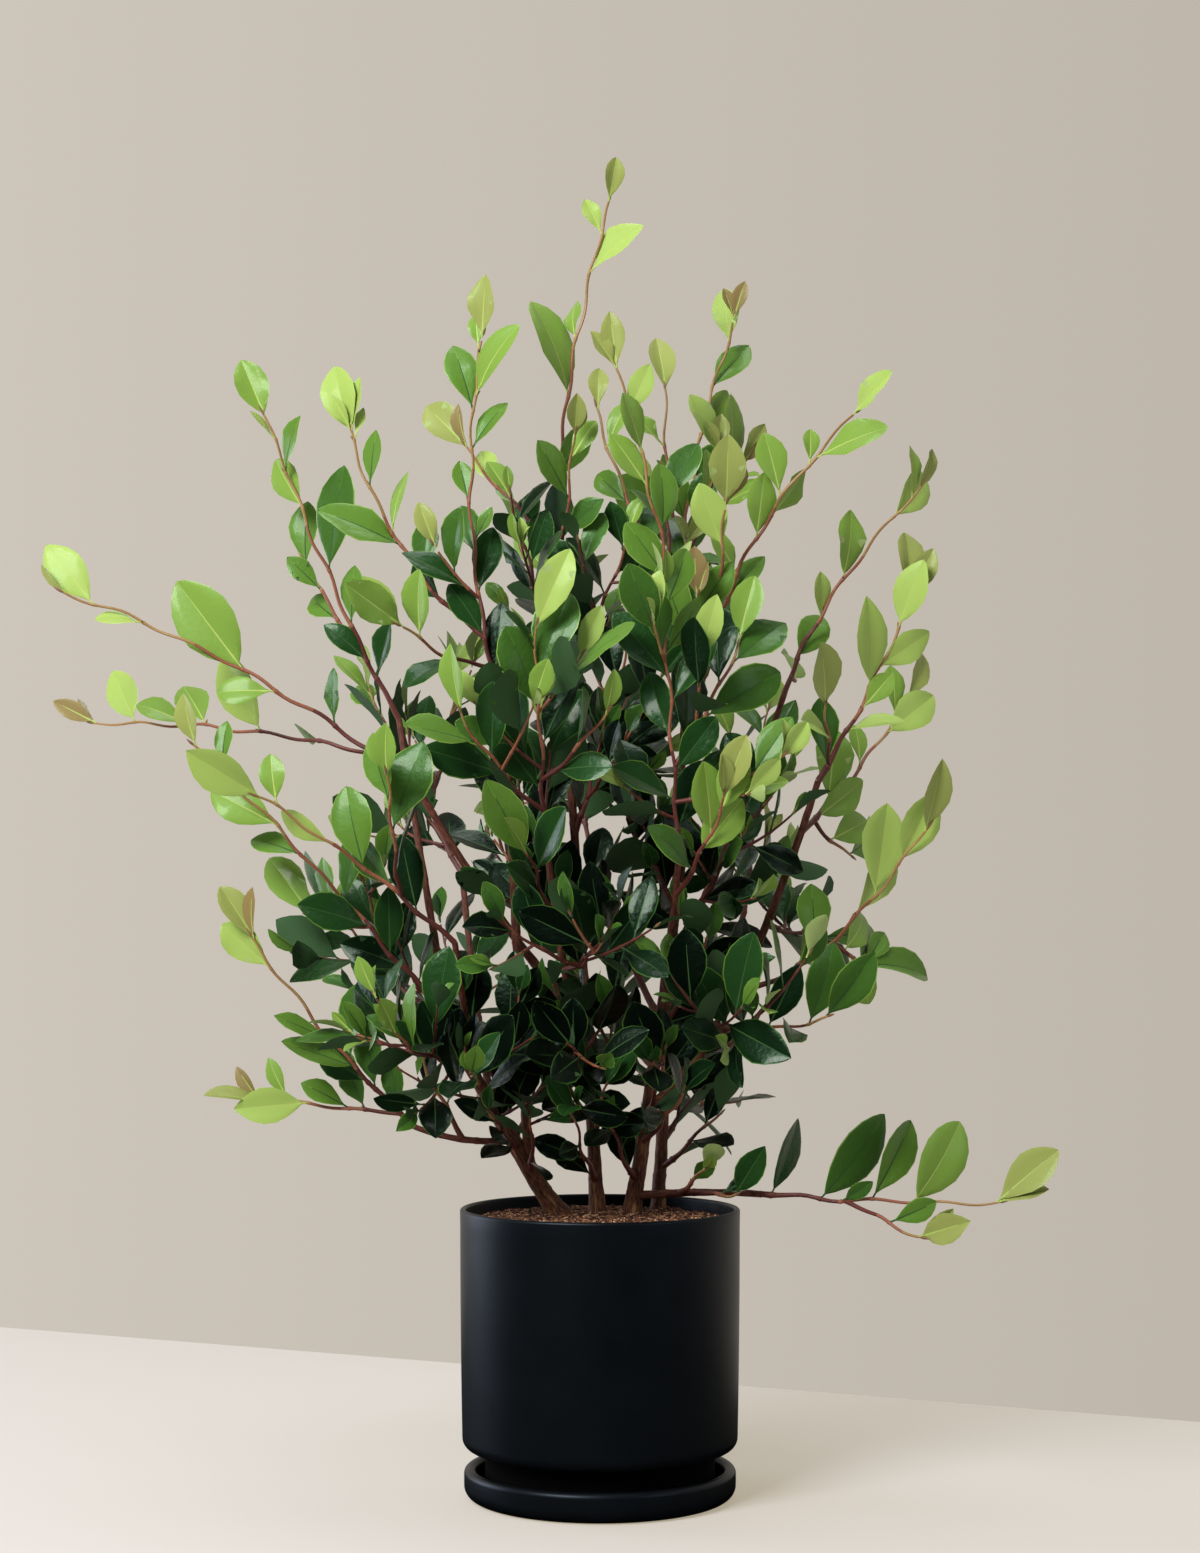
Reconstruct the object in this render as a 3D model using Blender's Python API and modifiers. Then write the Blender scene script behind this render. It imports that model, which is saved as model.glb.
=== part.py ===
# A camellia shrub in a straight-sided pot on its saucer. Metres, +Z up.
# The origin is the centre of the saucer's flat underside, and -Y is the front.

import math
import random

import bmesh
import bpy
import numpy as np
from mathutils import Matrix, Vector
from mathutils.bvhtree import BVHTree

CLEARANCE = 0.0003

# The pot: a nearly straight wall with a rolled lip, on a narrower foot that is hollow inside.
LIP_RADIUS = 0.1078
RIM_HEIGHT = 0.2215
LIP_ROLL = 0.0028
WALL_TOP_RADIUS = 0.1062
WALL_FOOT_RADIUS = 0.1042
WALL_FOOT_HEIGHT = 0.038
WALL = 0.0044
CORNER = 0.011
POT_FOOT_RADIUS = 0.088
FOOT_WALL = 0.008
POT_FLOOR = 0.022
SHOULDER = 0.018

# The saucer under it.
SAUCER_RADIUS = 0.1042
SAUCER_HEIGHT = 0.0235
SAUCER_ROLL = 0.0045
SAUCER_CORNER = 0.010
SAUCER_FLOOR = 0.0075

# The potting soil: level where the stems stand, then falling to the wall.
SOIL_LEVEL = 0.2155
SOIL_EDGE = 0.2095
SOIL_FLAT_RADIUS = 0.088

TURNED_STEPS = 40
LIMB_STEP = 0.030
TAPER = 0.65
FLARE = 0.45
FLARE_REACH = 0.012
STEM_CUT = 0.012

# Foot on the soil, tip, sag of the middle as a share of the length, radius at the foot and at the tip.
STEMS = {
    "left_stem": ((-0.034, 0.028), (-0.125, 0.000, 0.375), 0.02, 0.0082, 0.0040),
    "mid_stem": ((-0.002, 0.040), (-0.030, 0.030, 0.660), -0.02, 0.0060, 0.0026),
    "right_stem": ((0.025, 0.036), (0.076, -0.015, 0.600), 0.04, 0.0068, 0.0028),
    "back_stem": ((0.046, 0.066), (0.070, 0.120, 0.640), 0.03, 0.0056, 0.0026),
}

# Parent, how far along it, tip, sag, radius at the fork and at the tip.
BOUGHS = {
    "low_left_bough": ("left_stem", 0.36, (-0.142, 0.002, 0.283), 0.06, 0.0030, 0.0023),
    "low_right_bough": ("right_stem", 0.030, (0.124, -0.002, 0.232), -0.02, 0.0034, 0.0025),
    "upright_bough": ("left_stem", 0.22, (-0.072, -0.028, 0.600), 0.02, 0.0044, 0.0026),
    "far_left_bough": ("mid_stem", 0.33, (-0.140, -0.022, 0.545), 0.05, 0.0042, 0.0026),
    "upper_left_bough": ("left_stem", 0.86, (-0.158, 0.050, 0.600), 0.03, 0.0034, 0.0024),
    "front_left_bough": ("left_stem", 0.62, (-0.108, -0.062, 0.425), 0.08, 0.0032, 0.0022),
    "side_bough": ("right_stem", 0.21, (0.166, -0.018, 0.548), 0.14, 0.0044, 0.0026),
    "front_bough": ("mid_stem", 0.24, (-0.040, -0.074, 0.500), 0.10, 0.0036, 0.0024),
    "front_right_bough": ("right_stem", 0.36, (0.058, -0.086, 0.490), 0.08, 0.0032, 0.0022),
    "right_back_bough": ("back_stem", 0.46, (0.146, 0.078, 0.620), 0.06, 0.0034, 0.0024),
    "back_left_bough": ("left_stem", 0.52, (-0.112, 0.122, 0.480), 0.08, 0.0034, 0.0024),
    "back_bough": ("back_stem", 0.32, (-0.008, 0.158, 0.500), 0.06, 0.0034, 0.0024),
    "back_right_bough": ("back_stem", 0.24, (0.120, 0.166, 0.450), 0.08, 0.0034, 0.0024),
}

# How a mass is leaved. An open one is long bare-footed shoots, and a full one has many short twigs.
# Bare is the share of a shoot without leaves, and the rest are distances and lengths.
OPEN = {
    "bare": 0.22,
    "spacing": 0.042,
    "twig_spacing": 0.170,
    "twig": (0.045, 0.070),
    "leaf": (0.052, 0.066),
}
FULL = {
    "bare": 0.05,
    "spacing": 0.040,
    "twig_spacing": 0.080,
    "twig": (0.040, 0.065),
    "leaf": (0.062, 0.076),
}

# Each mass: its manner, then its shoots as (parent, how far along it, tip, sag). The first
# shoot is the mass's own stem, on a limb, and the others branch from it.
MASSES = {
    "far_left_foliage": (OPEN, [
        ("far_left_bough", 1.0, (-0.398, -0.060, 0.683), -0.05),
        ("stem", 0.12, (-0.405, 0.070, 0.603), -0.03),
    ]),
    "left_foliage": (OPEN, [
        ("left_stem", 1.0, (-0.300, -0.075, 0.572), -0.02),
        ("stem", 0.45, (-0.285, 0.000, 0.500), 0.06),
    ]),
    "front_left_foliage": (OPEN, [
        ("front_left_bough", 1.0, (-0.245, -0.135, 0.530), -0.03),
        ("stem", 0.30, (-0.150, -0.170, 0.545), 0.08),
    ]),
    "low_left_foliage": (OPEN, [
        ("low_left_bough", 1.0, (-0.285, -0.040, 0.440), 0.04),
        ("stem", 0.08, (-0.262, 0.010, 0.304), 0.00),
    ]),
    "upper_left_foliage": (OPEN, [
        ("upper_left_bough", 1.0, (-0.258, 0.010, 0.838), 0.05),
        ("stem", 0.20, (-0.246, 0.085, 0.745), 0.03),
    ]),
    "high_left_foliage": (OPEN, [
        ("upright_bough", 1.0, (-0.092, -0.055, 0.868), 0.02),
        ("stem", 0.20, (-0.195, -0.050, 0.822), 0.06),
        ("stem", 0.12, (-0.134, -0.100, 0.680), 0.06),
    ]),
    "leader_foliage": (OPEN, [
        ("mid_stem", 1.0, (0.006, 0.020, 1.003), 0.03),
        ("stem", 0.22, (-0.105, 0.040, 0.812), 0.05),
        ("stem", 0.12, (-0.020, -0.050, 0.806), 0.06),
    ]),
    "top_foliage": (OPEN, [
        ("right_stem", 0.90, (0.012, -0.052, 0.856), 0.02),
        ("stem", 0.46, (0.050, 0.000, 0.850), 0.06),
        ("stem", 0.40, (-0.004, 0.014, 0.838), 0.05),
    ]),
    "back_top_foliage": (OPEN, [
        ("back_stem", 1.0, (0.110, 0.112, 0.930), 0.02),
        ("stem", 0.30, (0.094, 0.070, 0.812), 0.06),
        ("stem", 0.18, (0.040, 0.150, 0.810), 0.06),
    ]),
    "high_right_foliage": (OPEN, [
        ("right_stem", 1.0, (0.190, -0.070, 0.818), -0.02),
        ("stem", 0.25, (0.096, -0.090, 0.760), 0.05),
    ]),
    "right_back_foliage": (OPEN, [
        ("right_back_bough", 1.0, (0.256, 0.082, 0.788), 0.02),
        ("stem", 0.22, (0.196, 0.120, 0.770), 0.05),
    ]),
    "right_side_foliage": (OPEN, [
        ("side_bough", 1.0, (0.236, -0.030, 0.690), 0.04),
        ("stem", 0.30, (0.160, -0.080, 0.650), 0.08),
    ]),
    "right_mid_foliage": (OPEN, [
        ("side_bough", 0.86, (0.250, 0.062, 0.622), 0.04),
        ("stem", 0.35, (0.245, 0.030, 0.530), 0.08),
    ]),
    "right_front_foliage": (OPEN, [
        ("side_bough", 0.40, (0.240, -0.080, 0.510), 0.12),
        ("stem", 0.45, (0.225, -0.020, 0.440), 0.05),
    ]),
    "low_right_foliage": (OPEN, [
        ("low_right_bough", 1.0, (0.299, -0.050, 0.230), 0.01),
        ("stem", 0.42, (0.250, -0.085, 0.205), 0.00),
    ]),
    "front_foliage": (FULL, [
        ("front_bough", 1.0, (-0.046, -0.140, 0.652), 0.04),
        ("stem", 0.30, (0.004, -0.150, 0.590), 0.06),
        ("stem", 0.15, (-0.100, -0.140, 0.590), 0.08),
    ]),
    "front_right_foliage": (FULL, [
        ("front_right_bough", 1.0, (0.046, -0.125, 0.680), 0.03),
        ("stem", 0.20, (0.130, -0.130, 0.560), 0.08),
    ]),
    "inner_left_foliage": (FULL, [
        ("left_stem", 0.93, (-0.205, 0.050, 0.450), 0.05),
        ("stem", 0.40, (-0.180, -0.010, 0.470), 0.05),
    ]),
    "inner_low_left_foliage": (FULL, [
        ("left_stem", 0.72, (-0.150, -0.110, 0.360), 0.05),
        ("stem", 0.50, (-0.185, -0.060, 0.360), 0.05),
    ]),
    "inner_mid_foliage": (FULL, [
        ("mid_stem", 0.42, (-0.085, 0.040, 0.510), 0.05),
        ("stem", 0.30, (-0.050, -0.024, 0.500), 0.03),
        ("stem", 0.20, (-0.004, -0.012, 0.450), 0.03),
    ]),
    "inner_high_foliage": (FULL, [
        ("mid_stem", 0.66, (0.020, 0.010, 0.650), 0.03),
        ("stem", 0.30, (0.015, 0.070, 0.600), 0.03),
        ("stem", 0.20, (0.020, -0.035, 0.580), 0.03),
    ]),
    "inner_front_foliage": (FULL, [
        ("front_bough", 0.50, (0.000, -0.130, 0.425), 0.05),
        ("stem", 0.40, (-0.070, -0.120, 0.440), 0.05),
        ("stem", 0.20, (0.015, -0.060, 0.440), 0.05),
    ]),
    "inner_right_foliage": (FULL, [
        ("right_stem", 0.52, (0.112, 0.020, 0.530), 0.05),
        ("stem", 0.30, (0.105, -0.045, 0.505), 0.03),
        ("stem", 0.15, (0.095, 0.045, 0.450), 0.03),
    ]),
    "inner_low_right_foliage": (FULL, [
        ("side_bough", 0.28, (0.120, -0.085, 0.375), 0.05),
        ("stem", 0.50, (0.060, -0.100, 0.380), 0.05),
    ]),
    "inner_side_foliage": (FULL, [
        ("side_bough", 0.60, (0.190, 0.050, 0.430), 0.05),
        ("stem", 0.45, (0.160, 0.090, 0.440), 0.05),
    ]),
    "back_left_foliage": (FULL, [
        ("back_left_bough", 1.0, (-0.225, 0.190, 0.640), 0.04),
        ("stem", 0.30, (-0.120, 0.200, 0.650), 0.06),
        ("stem", 0.15, (-0.200, 0.140, 0.520), 0.06),
    ]),
    "back_foliage": (FULL, [
        ("back_bough", 1.0, (-0.040, 0.205, 0.760), 0.04),
        ("stem", 0.25, (0.030, 0.240, 0.620), 0.06),
        ("stem", 0.15, (-0.060, 0.240, 0.560), 0.06),
    ]),
    "back_right_foliage": (FULL, [
        ("back_right_bough", 1.0, (0.205, 0.215, 0.640), 0.04),
        ("stem", 0.30, (0.110, 0.230, 0.600), 0.06),
        ("stem", 0.15, (0.220, 0.170, 0.510), 0.06),
    ]),
    "low_back_foliage": (FULL, [
        ("back_stem", 0.17, (0.060, 0.205, 0.360), 0.08),
        ("stem", 0.45, (0.000, 0.190, 0.370), 0.05),
    ]),
    "low_back_left_foliage": (FULL, [
        ("back_left_bough", 0.42, (-0.150, 0.150, 0.370), 0.05),
        ("stem", 0.45, (-0.085, 0.160, 0.390), 0.05),
    ]),
}

SHOOT_STEP = 0.065
SHOOT_RADII = (0.0028, 0.0018)
TWIG_RADII = (0.0020, 0.0015)
TWIG_SLANT = (38.0, 58.0)
TWIG_TWIST = 137.5
TWIG_RISE = 0.12
TWIGS_TO = 0.86
LEAF_WIDTH = 0.62
LEAF_THICKNESS = 0.0011
LEAF_BELLY = 0.52
LEAF_SIZES = (0.86, 1.08)
LEAF_SLANT = (40.0, 66.0)
LEAF_TWIST = 155.0
LEAF_FACING = (0.0, -0.55, 0.45)
LEAF_TURN = 0.6
LEAF_ROOT = 0.0006
TIP_LEAF_ROOT = 0.0030
TIP_LEAF_SLANT = (0.0, 22.0)
TIP_LEAF_SHARE = 0.85
TWIG_BARE = 0.35
SAMPLE_STEP = 0.008
SPACE_MARGIN = 0.0020
LIMB_MARGIN = 0.0012
STEM_ROOM = 0.0045
TRIES = 5
SEED = 41


# Collections, materials and objects

def clear_scene():
    for obj in list(bpy.data.objects):
        bpy.data.objects.remove(obj, do_unlink=True)


def new_collection(name):
    collection = bpy.data.collections.new(name)
    bpy.context.scene.collection.children.link(collection)
    return collection


def new_material(name, colour, roughness, metallic=0.0):
    material = bpy.data.materials.new(name)
    material.use_nodes = True
    shader = material.node_tree.nodes["Principled BSDF"]
    shader.inputs["Base Color"].default_value = (*colour, 1.0)
    shader.inputs["Roughness"].default_value = roughness
    shader.inputs["Metallic"].default_value = metallic
    return material


def new_object(name, data, collection):
    obj = bpy.data.objects.new(name, data)
    collection.objects.link(obj)
    return obj


def as_mesh_object(curve_object, collection):
    # The curve made a mesh, with its loose caps welded on.
    bpy.context.view_layer.update()
    evaluated = curve_object.evaluated_get(bpy.context.evaluated_depsgraph_get())
    mesh = bpy.data.meshes.new_from_object(evaluated)
    bm = bmesh.new()
    bm.from_mesh(mesh)
    bmesh.ops.remove_doubles(bm, verts=bm.verts, dist=0.00001)
    bmesh.ops.recalc_face_normals(bm, faces=bm.faces)
    bm.to_mesh(mesh)
    bm.free()
    name = curve_object.name
    curve = curve_object.data
    place = curve_object.matrix_world.copy()
    bpy.data.objects.remove(curve_object, do_unlink=True)
    bpy.data.curves.remove(curve)
    obj = new_object(name, mesh, collection)
    obj.matrix_world = place
    return obj


def apply_modifiers(obj):
    bpy.context.view_layer.update()
    evaluated = obj.evaluated_get(bpy.context.evaluated_depsgraph_get())
    mesh = bpy.data.meshes.new_from_object(evaluated)
    obj.modifiers.clear()
    obj.data = mesh


# Turned shapes: pot, saucer and soil

def arc(centre, radius, first, last, count):
    # Points of an arc in the XZ plane, its angles in degrees from +X towards +Z.
    points = []
    for index in range(count):
        angle = math.radians(first + (last - first) * index / (count - 1))
        points.append((centre[0] + radius * math.cos(angle), centre[1] + radius * math.sin(angle)))
    return points


def turned(name, profile, material, collection):
    mesh = bpy.data.meshes.new(name)
    corners = [(x, 0.0, z) for x, z in profile]
    mesh.from_pydata(corners, [(i, i + 1) for i in range(len(corners) - 1)], [])
    mesh.materials.append(material)
    obj = new_object(name, mesh, collection)
    screw = obj.modifiers.new("turn", "SCREW")
    screw.axis = "Z"
    screw.steps = TURNED_STEPS
    screw.render_steps = TURNED_STEPS
    screw.use_merge_vertices = True
    screw.merge_threshold = 0.00001
    screw.use_smooth_shade = True
    return obj


def hollow_profile(gap):
    # The inside of the pot from its floor's centre up to the shoulder, drawn in by a gap.
    foot = POT_FOOT_RADIUS - FOOT_WALL - gap
    wall = WALL_FOOT_RADIUS - WALL - gap
    floor = POT_FLOOR + gap
    ledge = WALL_FOOT_HEIGHT + gap
    return [(0.0, floor), (foot, floor), (foot, ledge), (wall, ledge + SHOULDER)]


def pot_profile():
    lip = (LIP_RADIUS - LIP_ROLL, RIM_HEIGHT - LIP_ROLL)
    corner = (WALL_FOOT_RADIUS - CORNER, WALL_FOOT_HEIGHT + CORNER)
    profile = hollow_profile(0.0)
    profile += arc(lip, LIP_ROLL, 180.0, 0.0, 5)
    profile += [(WALL_TOP_RADIUS, RIM_HEIGHT - 4.5 * LIP_ROLL)]
    profile += arc(corner, CORNER, 0.0, -90.0, 4)
    profile += [(POT_FOOT_RADIUS, WALL_FOOT_HEIGHT), (POT_FOOT_RADIUS, SAUCER_FLOOR + CLEARANCE)]
    profile += [(0.0, SAUCER_FLOOR + CLEARANCE)]
    return profile


def saucer_profile():
    roll = (SAUCER_RADIUS - SAUCER_ROLL, SAUCER_HEIGHT - SAUCER_ROLL)
    corner = (SAUCER_RADIUS - SAUCER_CORNER, SAUCER_CORNER)
    profile = [(0.0, SAUCER_FLOOR), (POT_FOOT_RADIUS + 0.003, SAUCER_FLOOR)]
    profile += arc(roll, SAUCER_ROLL, 180.0, 0.0, 5)
    profile += arc(corner, SAUCER_CORNER, 0.0, -90.0, 4)
    profile += [(0.0, 0.0)]
    return profile


def soil_profile():
    wall = LIP_RADIUS - 2 * LIP_ROLL - 2 * CLEARANCE
    middle = (SOIL_FLAT_RADIUS + wall) / 2
    profile = [(0.0, SOIL_LEVEL), (SOIL_FLAT_RADIUS, SOIL_LEVEL)]
    profile += [(middle, SOIL_LEVEL - 0.3 * (SOIL_LEVEL - SOIL_EDGE)), (wall, SOIL_EDGE)]
    return profile + hollow_profile(CLEARANCE)[::-1]


# Paths of limbs and shoots

def sagging_path(start, tip, sag, step):
    # A parabola from start to tip, its middle lower than the straight line by sag times the length.
    start = Vector(start)
    tip = Vector(tip)
    length = (tip - start).length
    low = (start + tip) / 2 - Vector((0.0, 0.0, 2 * sag * length))
    count = max(3, round(length / step) + 1)
    path = []
    for index in range(count):
        t = index / (count - 1)
        path.append(start * (1 - t) ** 2 + low * 2 * t * (1 - t) + tip * t ** 2)
    return path


def path_length(path):
    return sum((b - a).length for a, b in zip(path, path[1:]))


def point_along(path, share):
    # The point this share of the way along a path, and the path's direction there.
    left = share * path_length(path)
    index = 0
    while index < len(path) - 2 and left > (path[index + 1] - path[index]).length:
        left -= (path[index + 1] - path[index]).length
        index += 1
    stretch = path[index + 1] - path[index]
    return path[index] + stretch * min(left / stretch.length, 1.0), stretch.normalized()


def limb_radius(share, length, foot, tip, flared):
    radius = foot + (tip - foot) * share ** TAPER
    if flared:
        radius += FLARE * foot * math.exp(-share * length / FLARE_REACH)
    return radius


# Tubes

def tube_curve(name, path, radii, collection):
    curve = bpy.data.curves.new(name, "CURVE")
    curve.dimensions = "3D"
    curve.use_fill_caps = True
    spline = curve.splines.new("POLY")
    spline.points.add(len(path) - 1)
    for point, place, radius in zip(spline.points, path, radii):
        point.co = (*place, 1.0)
        point.radius = radius
    return new_object(name, curve, collection)


def round_tube(name, path, radii, collection):
    # A limb: six-sided, its radius taken from the spline's points.
    obj = tube_curve(name, path, radii, collection)
    obj.data.bevel_depth = 1.0
    obj.data.bevel_resolution = 1
    return as_mesh_object(obj, collection)


def three_sided_tube(name, path, radii, section, collection):
    obj = tube_curve(name, path, radii, collection)
    obj.data.bevel_mode = "OBJECT"
    obj.data.bevel_object = section
    return as_mesh_object(obj, collection)


def triangle_section(collection):
    # A closed triangle of unit radius that the twigs are drawn along.
    curve = bpy.data.curves.new("twig_section", "CURVE")
    spline = curve.splines.new("POLY")
    spline.points.add(2)
    spline.use_cyclic_u = True
    for index, point in enumerate(spline.points):
        angle = -2 * math.pi * index / 3
        point.co = (math.cos(angle), math.sin(angle), 0.0, 1.0)
    section = new_object("twig_section", curve, collection)
    section.hide_render = True
    section.display_type = "WIRE"
    return section


# Stems and boughs

def plan_limbs():
    # Every limb's path and radii, worked out before any is built, because masses keep clear of them all.
    limbs = {}
    for name, (foot, tip, sag, foot_radius, tip_radius) in STEMS.items():
        start = Vector((*foot, SOIL_LEVEL))
        path = sagging_path(start, tip, sag, LIMB_STEP)
        path.insert(1, start.lerp(path[1], 0.35))
        limbs[name] = limb_plan(path, foot_radius, tip_radius, True)
    for name, (parent, share, tip, sag, fork_radius, tip_radius) in BOUGHS.items():
        start, _ = point_along(limbs[parent]["path"], share)
        path = sagging_path(start, tip, sag, LIMB_STEP)
        limbs[name] = limb_plan(path, fork_radius, tip_radius, False)
        limbs[name]["parent"] = parent
    return limbs


def limb_plan(path, foot_radius, tip_radius, flared):
    total = path_length(path)
    done = 0.0
    radii = []
    for index, point in enumerate(path):
        if index:
            done += (point - path[index - 1]).length
        radii.append(limb_radius(done / total, total, foot_radius, tip_radius, flared))
    return {"path": path, "radii": radii, "ends": (foot_radius, tip_radius)}


def add_cutter(obj, cutter):
    cutter.hide_render = True
    cutter.display_type = "WIRE"
    cut = obj.modifiers.new("cut", "BOOLEAN")
    cut.operation = "DIFFERENCE"
    cut.object = cutter


def ground_block(cutters):
    # What lies under the soil's surface, taken off the stems' feet in one level cut.
    size = 2 * SOIL_FLAT_RADIUS
    middle = SOIL_LEVEL + CLEARANCE - size / 2
    bpy.ops.mesh.primitive_cube_add(size=size, location=(0.0, 0.0, middle))
    block = bpy.context.active_object
    block.name = "ground_block"
    for collection in list(block.users_collection):
        collection.objects.unlink(block)
    cutters.objects.link(block)
    return block


def build_limbs(limbs, bark, parts, cutters):
    ground = ground_block(cutters)
    for name, limb in limbs.items():
        path = list(limb["path"])
        if "parent" not in limb:
            # A stem is drawn a little way into the ground and then cut level with it.
            path[0] = path[0] - (path[1] - path[0]).normalized() * STEM_CUT
        obj = round_tube(name, path, limb["radii"], parts)
        obj.data.materials.clear()
        obj.data.materials.append(bark)
        obj.data.shade_smooth()
        if "parent" in limb:
            parent = limbs[limb["parent"]]
            radii = [radius + CLEARANCE for radius in parent["radii"]]
            add_cutter(obj, round_tube(f"{name}_saddle", parent["path"], radii, cutters))
        else:
            add_cutter(obj, ground)
        limb["object"] = obj


# Masses of foliage

def shoot_start(limbs, mass_shoots, parent, share, tip):
    # On a limb the shoot starts clear of its surface or tip, and on its own stem it starts inside.
    if parent == "stem":
        return point_along(mass_shoots[0], share)[0]
    path = limbs[parent]["path"]
    point, along = point_along(path, share)
    heading = (Vector(tip) - point).normalized()
    lean = max(heading.angle(along), 0.2)
    if share == 1.0:
        return point + along * (2 * CLEARANCE + SHOOT_RADII[0] * math.sin(lean))
    radius = limb_radius(share, path_length(path), *limbs[parent]["ends"], False)
    off_axis = radius + SHOOT_RADII[0] * abs(math.cos(lean)) + 2 * CLEARANCE
    return point + heading * off_axis / math.sin(lean)


def plan_shoots(limbs):
    plans = {}
    for name, (_, shoots) in MASSES.items():
        paths = []
        for parent, share, tip, sag in shoots:
            start = shoot_start(limbs, paths, parent, share, tip)
            paths.append(sagging_path(start, tip, sag, SHOOT_STEP))
        plans[name] = paths
    return plans


def space_samples(plans):
    # Points close along every mass's shoots. A mass's space is what lies nearer to its own
    # points than to any other mass's.
    points = []
    owners = []
    for owner, paths in enumerate(plans.values()):
        for path in paths:
            count = max(2, round(path_length(path) / SAMPLE_STEP))
            for index in range(count + 1):
                points.append(point_along(path, index / count)[0])
                owners.append(owner)
    return np.array(points), np.array(owners)


class Foliage:
    # Grows one mass at a time and remembers what is taken: the limbs, the pot and the masses before it.

    def __init__(self, plans, solid_trees, leaf):
        self.points, self.owners = space_samples(plans)
        self.solid_trees = solid_trees
        self.mass_trees = []
        self.leaf_corners = [vert.co.copy() for vert in leaf.vertices]
        self.leaf_faces = [list(face.vertices) for face in leaf.polygons]

    def begin(self, owner, seed):
        self.own = self.points[self.owners == owner]
        self.other = self.points[self.owners != owner]
        self.random = random.Random(seed)
        self.leaves = []
        self.twigs = []
        self.own_trees = []

    def in_space(self, places):
        for place in places:
            near = np.linalg.norm(self.own - np.array(place), axis=1).min()
            far = np.linalg.norm(self.other - np.array(place), axis=1).min()
            if near + SPACE_MARGIN > far:
                return False
        return True

    def is_free(self, shell, shell_off_stem, places):
        # The whole shell keeps clear of other things, and what is off its stem also of its own mass.
        if not self.in_space(places):
            return False
        tree = BVHTree.FromPolygons(*shell)
        if any(tree.overlap(other) for other in self.solid_trees + self.mass_trees):
            return False
        tree = BVHTree.FromPolygons(*shell_off_stem)
        return not any(tree.overlap(other) for other in self.own_trees)

    def take(self, corners, faces):
        self.own_trees.append(BVHTree.FromPolygons(corners, faces))

    def end(self):
        corners = []
        faces = []
        for more_corners, more_faces in self.leaves_and_twigs():
            offset = len(corners)
            corners += more_corners
            faces += [[offset + corner for corner in face] for face in more_faces]
        self.mass_trees.append(BVHTree.FromPolygons(corners, faces))

    def leaf_shell(self, place):
        return [place @ corner for corner in self.leaf_corners], self.leaf_faces

    def leaves_and_twigs(self):
        for place in self.leaves:
            yield self.leaf_shell(place)
        for path, radii in self.twigs:
            yield prism(path, [radius + LIMB_MARGIN for radius in radii])


def leaf_mesh():
    # An eight-faced blade one unit long and wide: an octahedron drawn out, with its sides folded up.
    bm = bmesh.new()
    bmesh.ops.create_uvsphere(bm, u_segments=4, v_segments=2, radius=1.0)
    for vert in bm.verts:
        x, y, z = vert.co
        if abs(z) > 0.5:
            vert.co = (1.0 if z > 0 else 0.0, 0.0, 0.0)
        elif abs(x) > 0.5:
            vert.co = (LEAF_BELLY, 0.0, math.copysign(0.5, x))
        else:
            vert.co = (LEAF_BELLY, math.copysign(0.5, y), 0.0)
    bmesh.ops.recalc_face_normals(bm, faces=bm.faces)
    mesh = bpy.data.meshes.new("leaf")
    bm.to_mesh(mesh)
    bm.free()
    return mesh


def prism(path, radii):
    # The rough shell of a twig, for overlap tests only.
    corners = []
    faces = []
    for index, (point, radius) in enumerate(zip(path, radii)):
        along = (path[min(index + 1, len(path) - 1)] - path[max(index - 1, 0)]).normalized()
        side = along.orthogonal().normalized()
        for turn in range(3):
            corners.append(point + Matrix.Rotation(turn * math.tau / 3, 3, along) @ side * radius)
        if index:
            base = 3 * index
            for turn in range(3):
                following = (turn + 1) % 3
                faces.append([base + turn, base + following, base - 3 + following, base - 3 + turn])
    return corners, faces


def leaf_place(root, heading, facing, length, width):
    # The leaf's own X runs to its tip, and its Z is the way that its face looks.
    normal = (facing - heading * facing.dot(heading)).normalized()
    across = normal.cross(heading)
    turn = Matrix((heading, across, normal)).transposed().to_4x4()
    size = Matrix.Diagonal((length, width, LEAF_THICKNESS, 1.0))
    return Matrix.Translation(root) @ turn @ size


def slanted(along, slant, twist):
    # The direction at this slant from a stem, turned round it by twist, both in degrees.
    side = along.orthogonal().normalized()
    side = Matrix.Rotation(math.radians(twist), 3, along) @ side
    return (along * math.cos(math.radians(slant)) + side * math.sin(math.radians(slant))).normalized()


def add_leaf(foliage, point, along, twist, length, root):
    # A leaf is tried a few ways and left out where none of them is free.
    draw = foliage.random
    slants = TIP_LEAF_SLANT if root == TIP_LEAF_ROOT else LEAF_SLANT
    for _ in range(TRIES):
        slant = draw.uniform(*slants)
        heading = slanted(along, slant, twist + draw.uniform(-35.0, 35.0))
        turn = Vector([draw.uniform(-LEAF_TURN, LEAF_TURN) for _ in range(3)])
        facing = along + Vector(LEAF_FACING) + turn
        size = length * draw.uniform(*LEAF_SIZES)
        place = leaf_place(point - heading * root, heading, facing, size, size * LEAF_WIDTH)
        shell = foliage.leaf_shell(place)
        off_stem = foliage.leaf_shell(Matrix.Translation(heading * STEM_ROOM) @ place)
        outline = [corner for corner in shell[0] if (corner - point).length > size / 3]
        if foliage.is_free(shell, off_stem, outline):
            foliage.leaves.append(place)
            foliage.take(*shell)
            return


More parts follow.
